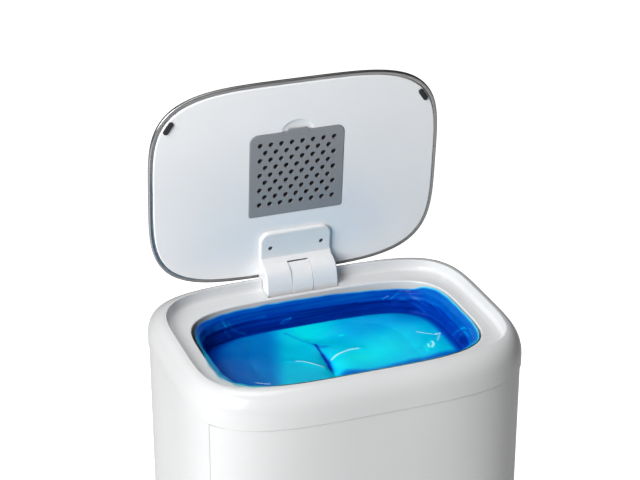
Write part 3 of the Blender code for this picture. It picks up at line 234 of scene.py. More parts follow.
# Folds drawn on the film as painted shade and painted highlights, in millimetres: the keyword of a painted
# highlight or the change of tone (painted shade where below nought, painted light where above), width, line
MARKS = (
    ("shine", 0.55, ((-31.8, 14), (-26, 11.9), (-20.7, 8.2), (-15.5, 4.3), (-9.9, 0.7))),
    ("shine", 0.60, ((1.7, 13), (5.9, 14.5), (13, 16.6), (21.6, 18.8), (29.6, 18.1))),
    (-0.62, 1.1, ((-4.5, 38), (-4, 31.1), (-2.8, 23.2), (-1.6, 13.5), (-2.4, 3))),
    (-0.40, 2.2, ((-2.8, 23.2), (-1.6, 13.5), (-2.8, -1))),
    (-0.20, 2.2, ((-5, 39), (-2, 34), (4, 33))),
    (-0.16, 1.2, ((-26.5, 58.2), (-17.2, 51.9), (-10, 45.3), (-4.9, 39.2))),
    (0.50, 0.7, ((-27.2, 67, -31.1), (-24.2, 67.4, -29.2), (-17.3, 67.8, -28.2))),
    (0.30, 0.7, ((-26, 67, -32.4), (-20, 67.4, -30.6), (-17.3, 67.8, -28.6))),
    ("shine", 0.32, ((86.3, 17.3), (91.7, 11.5), (98.3, 8.4), (105.1, 8.2))),
    ("shine", 0.32, ((105.3, 8.6), (100.7, 1.3), (96.5, -5.4))),
    (0.45, 0.9, ((91.1, -2.7), (91.6, -9), (87.2, -16.1), (84.7, -14.5), (86.4, -7.5))),
    ("shine", 0.6, ((91.6, -5), (90.5, -11), (87.2, -15))),
    ("shine", 0.35, ((86.4, -7.5), (85, -13), (84.7, -14.5))),
    (0.40, 0.8, ((82.1, -8.6), (81.6, -14.3), (81.5, -18.8))),
    ("shine", 0.5, ((-80.7, -19.7), (-74.8, -21.3), (-68.9, -22.5))),
    (0.30, 1.0, ((22.5, 46.4), (25.2, 45.8))),
    (0.36, 1.0, ((114.3, -0.2, -36.3), (114.9, -9, -27.3), (115.3, -20.5, -18.9), (116.7, -31.4, -15.7))),
    (0.36, 1.0, ((116.7, -31.4, -15.7), (113.3, -43.9, -16.3), (109.6, -46.2, -21.5))),
    (0.30, 0.9, ((113.3, -11.2, -36.8), (114.6, -14.3, -29.3), (114.8, -24, -21.5), (114.2, -33.1, -20.9))),
    (-0.30, 3.5, ((112.5, -16, -34), (113.5, -26, -27), (112.5, -36, -26))),
    (0.60, 0.6, ((70.7, 63.7, -22.8), (73.4, 64.1, -21.6))),
    ("shine", 0.3, ((73.4, 64.1, -21.6), (76.3, 64.3, -20.6))),
    (0.34, 1.0, ((79.1, 62.3, -23.2), (83.4, 63.2, -20.3), (88.6, 61.3, -17.2), (96.5, 56.3, -19.3))),
    (0.26, 1.0, ((96.5, 56.3, -19.3), (104.2, 50.5, -25.2), (108.3, 43.6, -26.8))),
    (0.24, 1.1, ((81, 62.1, -26.6), (89.2, 57.9, -22.9), (99.4, 53.2, -27.7), (106.5, 46, -33.8))),
    (0.20, 1.0, ((111.2, 38.6, -23), (113.6, 28, -27), (114.6, 12, -29), (115, 0, -27))),
    (0.16, 1.0, ((110, 36, -31), (113, 22.5, -33.5), (113.6, 8, -34.6))),
    (0.34, 1.1, ((-84.5, 63.2, -16.8), (-81.4, 61.7, -22.7), (-82.3, 62.1, -27.8), (-77.9, 61.6, -33.4))),
    (0.30, 1.1, ((-78.7, 63.9, -20.1), (-75.2, 63.6, -26.8), (-69.3, 64.5, -31.8), (-62.4, 65.3, -34.7))),
    (0.18, 1.2, ((-90, 58, -20), (-93, 55, -26), (-92, 54, -32))),
    (-0.24, 0.9, ((-40.4, 67.7, -21.9), (-23, 67.8, -22), (0.1, 67.4, -23.3))),
    (-0.24, 0.9, ((0.1, 67.4, -23.3), (23.4, 66.8, -23.3), (46.8, 66.3, -23.5))),
    (0.16, 0.8, ((-42, 68, -23.6), (-20, 68, -23.8), (4, 67.4, -24.9))),
    (0.16, 0.8, ((4, 67.4, -24.9), (26, 66.8, -25), (48, 66.3, -25.2))),
)


def put(node, values):
    """Set plain values on a node's inputs."""
    for name, value in values.items():
        node.inputs[name].default_value = value


def new_material(name):
    """A material with its nodes, links and shader."""
    made = bpy.data.materials.new(name)
    made.use_nodes = True
    nodes, links = made.node_tree.nodes, made.node_tree.links
    return made, nodes, links, nodes["Principled BSDF"]


def add_texture(nodes, links, kind, values, stretch=None):
    """A texture in the object's own coordinates, stretched or not."""
    source = nodes.new("ShaderNodeTexCoord").outputs["Object"]
    if stretch:
        squeeze = nodes.new("ShaderNodeMapping")
        squeeze.inputs["Scale"].default_value = stretch
        links.new(source, squeeze.inputs["Vector"])
        source = squeeze.outputs["Vector"]
    texture = nodes.new(kind)
    put(texture, values)
    links.new(source, texture.inputs["Vector"])
    return texture


def add_relief(nodes, links, shader, height, strength, depth):
    """Bump a shader's surface by another node's output."""
    relief = nodes.new("ShaderNodeBump")
    put(relief, {"Strength": strength, "Distance": depth})
    links.new(height, relief.inputs["Height"])
    links.new(relief.outputs["Normal"], shader.inputs["Normal"])


def add_range(nodes, links, source, values):
    """Carry a value from one range to another."""
    spread = nodes.new("ShaderNodeMapRange")
    put(spread, values)
    links.new(source, spread.inputs["Value"])
    return spread.outputs["Result"]


def grain_range(nodes, links, scale, low, high):
    """Fine noise carried to a small range, for roughness or colour."""
    grain = add_texture(nodes, links, "ShaderNodeTexNoise", {"Scale": scale, "Detail": 4})
    values = {"From Min": 0.3, "From Max": 0.7, "To Min": low, "To Max": high}
    return grain, add_range(nodes, links, grain.outputs["Fac"], values)


def add_colours(nodes, links, source, stops, target):
    """Turn a value into a colour by a ramp with the given stops."""
    ramp = nodes.new("ShaderNodeValToRGB")
    parts = ramp.color_ramp.elements
    parts.remove(parts[1])
    for index, (place, colour) in enumerate(stops):
        stop = parts.new(place) if index else parts[0]
        stop.position = place
        stop.color = (*colour, 1)
    links.new(source, ramp.inputs["Fac"])
    links.new(ramp.outputs["Color"], target)


def tinted(name, dark, light, rough, grain=260, bump=0.02, values=None):
    """A moulded surface: slow colour drift, fine roughness and a light moulding texture."""
    made, nodes, links, shader = new_material(name)
    put(shader, values or {})
    _, drift = grain_range(nodes, links, 9, 0, 1)
    colours = nodes.new("ShaderNodeMix")
    colours.data_type = "RGBA"
    put(colours, {"A": (*dark, 1), "B": (*light, 1)})
    links.new(drift, colours.inputs["Factor"])
    links.new(colours.outputs["Result"], shader.inputs["Base Color"])
    fine, rub = grain_range(nodes, links, grain, rough * 0.88, rough * 1.14)
    links.new(rub, shader.inputs["Roughness"])
    add_relief(nodes, links, shader, fine.outputs["Fac"], bump, 0.0002)
    return made


def make_white(name, dark, light):
    """Glossy white moulding with a thin clear coat."""
    return tinted(name, dark, light, 0.24, values={
        "Subsurface Weight": 0.06, "Subsurface Radius": (0.004, 0.004, 0.005),
        "Coat Weight": 0.25, "Coat Roughness": 0.12})


def make_carbon():
    """A pad of small dark granules."""
    made, nodes, links, shader = new_material("carbon_granules")
    shader.inputs["Roughness"].default_value = 0.85
    cells = add_texture(nodes, links, "ShaderNodeTexVoronoi", {"Scale": 700})
    stops = ((0.0, (0.035, 0.035, 0.038)), (1.0, (0.008, 0.008, 0.009)))
    add_colours(nodes, links, cells.outputs["Distance"], stops, shader.inputs["Base Color"])
    add_relief(nodes, links, shader, cells.outputs["Distance"], 0.6, 0.0006)
    return made


def make_steel(name, stretch, rough):
    """Steel sheet brushed along one direction: noise drawn out into fine lines."""
    made, nodes, links, shader = new_material(name)
    put(shader, {"Metallic": 1, "Anisotropic": 0.5})
    brushed = add_texture(nodes, links, "ShaderNodeTexNoise", {"Scale": 90, "Detail": 6}, stretch)
    lines = brushed.outputs["Fac"]
    stops = ((0.35, (0.36, 0.355, 0.35)), (0.65, (0.50, 0.495, 0.49)))
    add_colours(nodes, links, lines, stops, shader.inputs["Base Color"])
    links.new(add_range(nodes, links, lines, {"To Min": rough * 0.8, "To Max": rough * 1.25}),
              shader.inputs["Roughness"])
    add_relief(nodes, links, shader, lines, 0.06, 0.0002)
    return made


def make_film_blue():
    """Blue film: its own blue, deeper where folded on itself, with painted shade and painted light in its
    tone and a painted highlight mixed in by a second attribute.
    """
    made, nodes, links, shader = new_material("blue_film")
    put(shader, {"Roughness": 0.28, "Specular IOR Level": 0.05, "Subsurface Weight": 0.15,
                 "Subsurface Radius": (0.001, 0.003, 0.006)})
    tone, shine = nodes.new("ShaderNodeAttribute"), nodes.new("ShaderNodeAttribute")
    tone.attribute_name, shine.attribute_name = "tone", "shine"
    # Pale cyan-white mixed in by the second attribute: a painted highlight.
    painted_highlight_mix = nodes.new("ShaderNodeMix")
    painted_highlight_mix.data_type = "RGBA"
    painted_highlight_mix.inputs["B"].default_value = (0.62, 0.86, 0.92, 1)
    stops = ((0.0, (0.000, 0.018, 0.240)), (0.25, (0.000, 0.050, 0.400)), (0.5, (0.000, 0.120, 0.480)),
             (0.75, (0.000, 0.340, 0.670)), (1.0, (0.000, 0.660, 0.730)))
    add_colours(nodes, links, tone.outputs["Fac"], stops, painted_highlight_mix.inputs["A"])
    links.new(shine.outputs["Fac"], painted_highlight_mix.inputs["Factor"])
    links.new(painted_highlight_mix.outputs["Result"], shader.inputs["Base Color"])
    wrinkle = add_texture(nodes, links, "ShaderNodeTexNoise", {"Scale": 60, "Detail": 5, "Distortion": 0.8})
    add_relief(nodes, links, shader, wrinkle.outputs["Fac"], 0.18, 0.0012)
    return made


def dress(material, *names):
    """Give CAD nodes that stay in view their material."""
    for name in names:
        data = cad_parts[name].data
        data.materials.clear()
        data.materials.append(material)


def oval_point(half_w, half_d, power, turn):
    """A point of a rounded-square outline."""
    across, along = math.cos(turn), math.sin(turn)
    x = math.copysign(abs(across) ** (2 / power), across) * half_w
    y = math.copysign(abs(along) ** (2 / power), along) * half_d
    return x, y


def even_places(points, count):
    """Places, as index and share, that cut a line of points into equal lengths."""
    far = [0.0]
    for here, after in zip(points, points[1:]):
        far.append(far[-1] + (after - here).length)
    places, index = [], 0
    for step in range(count):
        goal = far[-1] * step / count
        while far[index + 1] < goal:
            index += 1
        places.append((index, (goal - far[index]) / (far[index + 1] - far[index])))
    return places


def oval(width, depth, power, height, middle=0.0):
    """A ring of points at equal distances on a rounded-square outline."""
    ring = []
    for step in range(SEGMENTS + 1):
        x, y = oval_point(width / 2, depth / 2, power, math.tau * (step % SEGMENTS) / SEGMENTS)
        ring.append(Vector((x, y + middle, height)))
    return [ring[index].lerp(ring[index + 1], share) for index, share in even_places(ring, SEGMENTS)]


def body_oval(width, depth, height):
    """The body's outline, rounder in front than behind."""
    half = SEGMENTS // 2
    return (oval(width, depth, BACK_POWER, height)[:half]
            + oval(width, depth, FRONT_POWER, height)[half:])


def skin(rings, closed=False, caps=True):
    """Skin a list of rings: a tube that bites its tail, or a stack with or without its ends."""
    mesh = bmesh.new()
    rows = [[mesh.verts.new(point) for point in ring] for ring in rings]
    pairs = list(zip(rows, rows[1:]))
    if closed:
        pairs.append((rows[-1], rows[0]))
    for low, high in pairs:
        count = len(low)
        for here in range(count):
            after = (here + 1) % count
            mesh.faces.new((low[here], low[after], high[after], high[here]))
    if caps and not closed:
        mesh.faces.new(rows[0])
        mesh.faces.new(rows[-1])
    return mesh


def block(low, high):
    """A box between two corners."""
    mesh = bmesh.new()
    bmesh.ops.create_cube(mesh, size=1)
    low, high = Vector(low), Vector(high)
    bmesh.ops.scale(mesh, vec=high - low, verts=mesh.verts)
    bmesh.ops.translate(mesh, vec=(low + high) / 2, verts=mesh.verts)
    return mesh


def rod(start, end, radius, sides=40):
    """A round bar between two points."""
    mesh = bmesh.new()
    start, end = Vector(start), Vector(end)
    axis = end - start
    turn = Vector((0, 0, 1)).rotation_difference(axis).to_matrix().to_4x4()
    bmesh.ops.create_cone(mesh, cap_ends=True, segments=sides, radius1=radius, radius2=radius,
                          depth=axis.length, matrix=Matrix.Translation((start + end) / 2) @ turn)
    return mesh


def extrude(points, reach):
    """Extrude a flat outline."""
    mesh = bmesh.new()
    face = mesh.faces.new([mesh.verts.new(point) for point in points])
    made = bmesh.ops.extrude_face_region(mesh, geom=[face])
    moved = [item for item in made["geom"] if isinstance(item, bmesh.types.BMVert)]
    bmesh.ops.translate(mesh, vec=reach, verts=moved)
    return mesh


def prism(outline, low, high):
    """Extrude an outline of (y, z) points along X."""
    return extrude([(low, y, z) for y, z in outline], (high - low, 0, 0))


def slab(outline, low, high):
    """Extrude an outline of (x, y) points along Z."""
    return extrude([(x, y, low) for x, y in outline], (0, 0, high - low))


def arc(centre, radius, start, end, steps):
    """Points along an arc."""
    turns = [start + (end - start) * step / steps for step in range(steps + 1)]
    return [(centre[0] + radius * math.cos(turn), centre[1] + radius * math.sin(turn)) for turn in turns]


def quarter(steps):
    """Angles from nought to a right angle."""
    return [math.pi / 2 * step / steps for step in range(steps + 1)]


def round_rim(mesh, chosen, offset, segments):
    """Round the edges of a bmesh that a test picks."""
    rim = [edge for edge in mesh.edges if chosen(edge)]
    bmesh.ops.bevel(mesh, geom=rim, offset=offset, segments=segments, affect="EDGES", profile=0.5)


def rounded(width, depth, radii, middle=(0, 0), steps=10):
    """Rounded rectangle; radii run front left, front right, back right, back left."""
    corners = ((-1, -1, math.pi), (1, -1, 1.5 * math.pi), (1, 1, 0), (-1, 1, math.pi / 2))
    points = []
    for (side, end, start), radius in zip(corners, radii):
        centre = (middle[0] + side * (width / 2 - radius), middle[1] + end * (depth / 2 - radius))
        points += arc(centre, radius, start, start + math.pi / 2, steps)
    return points


def smooth_line(points, count):
    """A soft curve through a few points, with the same number of steps between each two."""
    padded = [points[0]] + list(points) + [points[-1]]
    line = []
    for a, b, c, d in zip(padded, padded[1:], padded[2:], padded[3:]):
        for step in range(count):
            t = step / count
            line.append(tuple(0.5 * (2 * q + (r - p) * t + (2 * p - 5 * q + 4 * r - s) * t * t
                                     + (3 * q - p - 3 * r + s) * t ** 3) for p, q, r, s in zip(a, b, c, d)))
    return line + [tuple(points[-1])]


def scene_object(name, data):
    """An object of the scene with these data."""
    made = bpy.data.objects.new(name, data)
    bpy.context.scene.collection.objects.link(made)
    return made


def to_object(name, mesh):
    """Turn a bmesh into an object of the scene."""
    data = bpy.data.meshes.new(name)
    mesh.to_mesh(data)
    mesh.free()
    return scene_object(name, data)


def stand_for(made, material, slot, body, *nodes):
    """Let a fine piece stand for CAD nodes."""
    made.data.materials.append(material)
    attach(made, body)
    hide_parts(*nodes)


def piece(name, mesh, place, material, slot, body, *nodes):
    """A fine piece in its own frame, still to be carved, finished and put in its place."""
    bmesh.ops.recalc_face_normals(mesh, faces=mesh.faces)
    made = to_object(name, mesh)
    stand_for(made, material, slot, body, *nodes)
    made["place"] = [value for row in place for value in row]
    return made


def carve(made, mesh, operation="DIFFERENCE"):
    """Cut a bmesh out of a piece, or join it on, and keep the result as the piece's mesh."""
    bmesh.ops.recalc_face_normals(mesh, faces=mesh.faces)
    tool = to_object("tool", mesh)
    step = made.modifiers.new("carve", "BOOLEAN")
    step.operation = operation
    step.solver = "EXACT"
    step.object = tool
    keep_result(made)
    bpy.data.objects.remove(tool, do_unlink=True)


def keep_result(made):
    """Turn a piece's modifiers into its mesh."""
    view = bpy.context.evaluated_depsgraph_get()
    view.update()
    result = bpy.data.meshes.new_from_object(made.evaluated_get(view), depsgraph=view)
    result.name = made.data.name
    made.modifiers.clear()
    made.data = result


def finish_piece(made, bevel=0.0, angle=40, segments=2):
    """Soften the sharp edges, shade the rest smooth and put the piece in its place."""
    if bevel:
        step = made.modifiers.new("ease", "BEVEL")
        step.width = bevel
        step.segments = segments
        step.limit_method = "ANGLE"
        step.angle_limit = math.radians(angle)
        keep_result(made)
    made.data.transform(Matrix([made["place"][row * 4:row * 4 + 4] for row in range(4)]))
    del made["place"]
    made.data.shade_smooth()
    made.data.set_sharp_from_angle(angle=math.radians(angle))
    even_out = made.modifiers.new("even_normals", "WEIGHTED_NORMAL")
    even_out.keep_sharp = True
    keep_result(made)


def clamp(value, low=0.0, high=1.0):
    """Keep a value between two limits."""
    return max(low, min(high, value))


def ramp(value, low, high):
    """Smooth step from 0 to 1 between two values."""
    share = clamp((value - low) / (high - low))
    return share * share * (3 - 2 * share)


def film_turns():
    """Angles that set the film's points at about equal distances round its edge."""
    fine = 4000
    outline = [Vector(oval_point(FILM_W / 2, FILM_D / 2, FILM_POWER, math.tau * step / fine))
               for step in range(fine + 1)]
    return [math.tau * (index + share) / fine for index, share in even_places(outline, FILM_STEPS)]


def film_surface(share, turn):
    """A point of the film's upper face: share runs from its edge (0) over the wall to the pinch (1)."""
    wobble = noise.noise(Vector((math.cos(turn) * 3, math.sin(turn) * 3, share * 2)))
    edge_x, edge_y = oval_point(FILM_W / 2, FILM_D / 2, FILM_POWER, turn)
    # The edge leans out over the throat's lip: most in front and at the sides, least behind on the left
    front = ramp(-edge_y, 0.030, 0.060)
    left = max(ramp(-edge_x, 0.085, 0.112), 0.75 * ramp(edge_x, 0.095, 0.113))
    loose = ramp(-edge_x, 0.03, 0.10) * ramp(edge_y, -0.02, 0.04)
    reach = 0.0022 + (FLARE - 0.0022) * max(front, left * (1 - 0.55 * loose))
    over = ramp(-edge_x, 0.070, 0.105) * ramp(0.010 - edge_y, 0.0, 0.030)
    ripple = 0.0010 * noise.noise(Vector((edge_x, edge_y, 0)) * 90) * (0.4 + 1.4 * over)
    reach += 0.0006 * front + 0.0036 * over
    top = FILM_TOP + 0.0034 * ramp(0.075 - edge_x, 0.0, 0.07)
    top += (FILM_TOP_FRONT + 0.0014 * over - top) * max(front, left * (1 - loose))
    corner = abs(math.sin(2 * turn)) ** 3
    # The wall, with a tuck under its edge and crumpled corners
    if share < WALL_SHARE:
        down = share / WALL_SHARE
        flare = reach + min(ripple, max(FLARE - reach, 0.0) + 0.0018 * over)
        flare = (1 - ramp(down, 0.0, 0.22)) * flare
        z = top + ripple * (1 - down) + (PILLOW_TOP - top) * down
        inset = 0.0008 + 0.0018 * down + 0.0022 * corner * down * (1 + wobble)
        inset += 0.0014 * math.exp(-((z + 0.0235) / 0.0020) ** 2) * (0.6 + wobble)
        inset += 0.0010 * noise.noise(Vector((edge_x * 22, edge_y * 22, z * 160))) * ramp(down, 0.1, 0.4)
        crumple = noise.noise(Vector((edge_x * 110, edge_y * 110, z * 90)))
        inset += 0.0016 * crumple * down * (1 - down) * 4 * corner
        x, y = oval_point(FILM_W / 2 - inset + flare, FILM_D / 2 - inset + flare, FILM_POWER, turn)
        return Vector((x, y + FILM_Y, z))
    # The pillow between the wall and the pinch, with a groove across it
    inward = (share - WALL_SHARE) / (1 - WALL_SHARE)
    power = FILM_POWER + (2.2 - FILM_POWER) * inward
    w, d = FILM_W / 2 - 0.0040, FILM_D / 2 - 0.0040
    x, y = oval_point(w * (1 - inward), d + (CREASE_D / 2 - d) * inward, power, turn)
    z = PILLOW_TOP + 0.0014 * math.sin(math.pi * clamp(inward / 0.35)) - 0.0075 * ramp(inward, 0.12, 0.9)
    groove = math.exp(-(abs(x + 0.0024) / 0.0060) ** 1.25) * ramp(0.040 - y, 0.0, 0.034)
    z -= 0.0075 * groove
    z += 0.0010 * noise.noise(Vector((x, y, 0)) * 40) * ramp(inward, 0.0, 0.2)
    for width, lift, line in RIDGES:
        z += lift * near_line(Vector((x, y)) * 1000, line, width)
    return Vector((x, y + FILM_Y, z))


def near_line(point, line, width):
    """How near a point is to a line of points: 1 on it, falling off over the width."""
    best = 1000.0
    for here, after in zip(line, line[1:]):
        a, b = Vector(here), Vector(after)
        span = b - a
        share = clamp((point - a).dot(span) / span.length_squared)
        best = min(best, (point - a - span * share).length)
    return math.exp(-(best / width) ** 2) if best < 4 * width else 0.0


def film_tone(point, share):
    """How bright the film is, from deep blue (0) to cyan (1): its own blue, deeper where folded, with painted
    shade and painted light laid over it.
    """
    x, y, z = point
    grain = noise.noise(Vector((x * 1.3, y * 1.3, z * 4)) * 60)
    if share < WALL_SHARE:
        # The wall: lighter high up, in front and at the right; the left wall lightened as painted light where
        # the lamp leaves it in shade, the edge lightened as a painted highlight; random streaks of crumples.
        high = ramp(z, -0.0255, -0.0215)
        front = ramp(-y, 0.050, 0.068)
        side = ramp(-x, 0.085, 0.105) * ramp(0.055 - y, 0.0, 0.03)
        rim = 1 - ramp(share, 0.0, 0.09 * WALL_SHARE)
        right = ramp(x, 0.095, 0.110)
        tone = 0.06 + 0.24 * high + 0.30 * front + 0.42 * side + 0.12 * right + 0.48 * rim
        streak = noise.noise(Vector((x * 14, y * 14, z * 520)))
        return clamp(tone + (0.05 * grain + 0.15 * streak) * (1 - 0.6 * front))
    inward = (share - WALL_SHARE) / (1 - WALL_SHARE)
    # Painted light and shade on the pillow: a painted shadow of the left wall over the left lobe, two painted
    # pools of light, and painted shade behind and at the right.
    lit = 0.48 + 0.08 * ramp(x, -0.095, -0.065) + 0.30 * ramp(x, -0.062 + 0.25 * y, -0.044 + 0.35 * y)
    lit += 0.14 * math.exp(-((x + 0.006) / 0.020) ** 2 - ((y - 0.056) / 0.011) ** 2)
    lit += 0.14 * math.exp(-((x - 0.026) / 0.036) ** 2 - ((y - 0.004) / 0.016) ** 2)
    lit -= 0.13 * ramp(x, 0.005, 0.045) * ramp(y, 0.025, 0.050)
    lit -= 0.10 * ramp(x, 0.060, 0.105) * ramp(y, 0.0, 0.04)
    # Painted shade of a fold across the pillow's front, fading back to the pillow's tone further forward.
    near = -0.0045 - 0.0110 * ramp(x, -0.008, 0.030) - 0.0080 * ramp(x, 0.02, 0.09)
    deep = near - y + 0.002 * grain
    lit -= 0.40 * ramp(deep, 0.0, 0.009) * (1 - ramp(deep, 0.013, 0.026)) * ramp(x, -0.006, 0.004)
    # Painted shade where the pillow meets the wall, reaching further in on the left.
    soft = 0.10 + 0.08 * ramp(-x, 0.05, 0.10)
    return clamp(0.10 + (lit - 0.10) * ramp(inward, 0.0, soft) + 0.03 * grain)


def film_marks(point, share, tone):
    """Folds drawn on the film as painted shade and painted highlights: its changed tone, and its painted
    highlight.
    """
    # A painted highlight along the film's edge.
    shine = 0.3 * (1 - ramp(share, 0.0, 0.05 * WALL_SHARE))
    point = point * 1000
    for kind, width, line in MARKS:
        on_pillow = len(line[0]) == 2
        if abs(point.x - line[len(line) // 2][0]) > MARK_REACH or on_pillow != (share >= WALL_SHARE):
            continue
        near = near_line(point.resized(len(line[0])), line, width)
        if kind == "shine":
            shine = max(shine, near)
        else:
            tone += kind * near
    return clamp(tone), shine


def soft_mesh(name, rows, caps, node, **values):
    """A smooth piece of film from rows of points, with values painted on them."""
    mesh = skin(rows, caps=caps)
    bmesh.ops.recalc_face_normals(mesh, faces=mesh.faces)
    film = to_object(name, mesh)
    film.data.shade_smooth()
    for kind, painted in values.items():
        film.data.attributes.new(kind, "FLOAT", "POINT").data.foreach_set("value", painted)
    stand_for(film, BLUE, "blue_film", "bin", node)


def make_film():
    """The film from its edge in the throat down to the pinched line."""
    turns = film_turns()
    place = Vector((0, BODY_Y, CREST))
    shares = [WALL_SHARE * step / WALL_ROWS for step in range(WALL_ROWS)]
    shares += [WALL_SHARE + (1 - WALL_SHARE) * step / PILLOW_ROWS for step in range(PILLOW_ROWS + 1)]
    rows, tones, shines = [], [], []
    for share in shares:
        row = [film_surface(share, turn) for turn in turns]
        rows.append([point + place for point in row])
        for point in row:
            tone, shine = film_marks(point, share, film_tone(point, share))
            tones.append(tone)
            shines.append(shine)
    soft_mesh("film_cup", rows, False, "film_liner", tone=tones, shine=shines)


def make_bag():
    """The filled length of film hanging under the flaps."""
    low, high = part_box("film_bag")
    height = high[2] - low[2]
    rows, tones = [], []
    for down, wide, deep in smooth_line(BAG_SHARES, 10):
        w, d = min(wide, 1.0) * (high[0] - low[0]) / 2, min(deep, 1.0) * (high[1] - low[1]) / 2
        row = []
        for side in range(BAG_STEPS):
            turn = math.tau * side / BAG_STEPS
            pleat = 1 - 0.035 * abs(math.sin(turn * 9 + 2 * math.sin(down * 5))) * (1 - 0.6 * down)
            lump = 1 - 0.05 * clamp(noise.noise(Vector((math.cos(turn), math.sin(turn), down * 3)) * 1.6))
            x, y = oval_point(w * pleat * lump, d * pleat * lump, 2.4, turn)
            row.append(Vector((x, y + FILM_Y + BODY_Y, high[2] - height * down)))
            # Painted shade: darker in the pleats' hollows and towards the bottom.
            tones.append(0.45 + 0.25 * pleat - 0.2 * down)
        rows.append(row)
    soft_mesh("hanging_bag", rows, True, "film_bag", tone=tones)


def make_collar():
    """Top ring: shoulder, crest, recess wall, ledge and throat, with the pocket of the hinge."""
    foot, ledge = CREST - COLLAR_H, CREST - RECESS_H
    rings = [body_oval(COLLAR_W - FOOT_EASE_W, COLLAR_D - FOOT_EASE_W, foot),
             body_oval(COLLAR_W, COLLAR_D, foot + FOOT_EASE_H)]
    crest = oval(RIM_W + RIM_OUT, RIM_D + RIM_OUT, CREST_POWER, CREST)
    side = body_oval(COLLAR_W, COLLAR_D, CREST)
    for turn in quarter(20):
        drop = Vector((0, 0, SHOULDER_H * (1 - math.sin(turn))))
        rings.append([low.lerp(high, 1 - math.cos(turn)) - drop for low, high in zip(side, crest)])
    for turn in quarter(4)[1:]:
        out = RIM_OUT * (1 - math.sin(turn))
        rings.append(oval(RIM_W + out, RIM_D + out, RIM_POWER, CREST - RIM_EASE * (1 - math.cos(turn))))
    for turn in quarter(10):
        inset = 2 * (RECESS_DRAFT + RECESS_FILLET * (1 - math.cos(turn)))
        height = ledge + RECESS_FILLET * (1 - math.sin(turn))
        rings.append(oval(RIM_W - inset, RIM_D - inset, RIM_POWER, height))
    for turn in quarter(5):
        out = 2 * MOUTH_LIP * (1 - math.sin(turn))
        rings.append(oval(MOUTH_W + out, MOUTH_D + out, MOUTH_POWER,
                          ledge - MOUTH_LIP * (1 - math.cos(turn)), MOUTH_Y))
    thick, draft = 2 * WALL, 2 * THROAT_DRAFT
    under = ledge - WALL
    rings += [
        oval(MOUTH_W - draft, MOUTH_D - draft, MOUTH_POWER, ledge - THROAT_H, MOUTH_Y),
        oval(MOUTH_W - draft + thick, MOUTH_D - draft + thick, MOUTH_POWER, ledge - THROAT_H, MOUTH_Y),
        oval(MOUTH_W + thick, MOUTH_D + thick, MOUTH_POWER, under, MOUTH_Y),
        oval(RIM_W, RIM_D, RIM_POWER, under),
        body_oval(COLLAR_W - thick, COLLAR_D - thick, under - WALL),
        body_oval(COLLAR_W - thick, COLLAR_D - thick, foot),
    ]
    collar = piece("fine_collar", skin(rings, closed=True), IN_BIN,
                   WHITE, "white_plastic", "bin", "top_collar")
    hinge = CREST - HINGE_DROP
    cheek = BRACKET_W / 2 + POCKET_CLEAR + POCKET_CHEEK
    low = hinge - ARM_R + ARM_RISE - POCKET_CLEAR - POCKET_SKIN
    carve(collar, block((-cheek, MOUTH_D / 2 + MOUTH_Y + WALL / 2, low),
                        (cheek, COLLAR_D / 2 - WALL / 2, ledge - WALL / 2)), "UNION")
    half = BRACKET_W / 2 + POCKET_CLEAR / 2
    plate = PANEL_H - BRACKET_T - POCKET_CLEAR
    swing = [(y, z) for y, z in arm_outline(POCKET_CLEAR) if y > 0]
    room = [(-POCKET_BACK, swing[0][1])] + swing + [
        (BRACKET_BEND + POCKET_CLEAR, plate), (BRACKET_BEND + POCKET_CLEAR, HINGE_DROP + OVERRUN),
        (-POCKET_BACK, HINGE_DROP + OVERRUN)]
    carve(collar, prism([(HINGE_Y - y, hinge + z) for y, z in room], -half, half))
    carve(collar, block((-ROD_SLOT_HALF, HINGE_Y + ROD_BACK - ROD_SLOT_T, low - OVERRUN),
                        (ROD_SLOT_HALF, HINGE_Y + ROD_BACK + ROD_SLOT_T, hinge)))
    finish_piece(collar, EDGE_EASE)


def arm_outline(extra=0.0):
    """The arms' lower face, as (towards the front, up) from the axis with the lid shut."""
    points = []
    for turn, share in zip(arm_angles, arm_radius_shares):
        radius = ARM_R * share + extra
        points.append((radius * math.sin(turn), ARM_RISE - radius * math.cos(turn)))
    return smooth_line(points, 4)


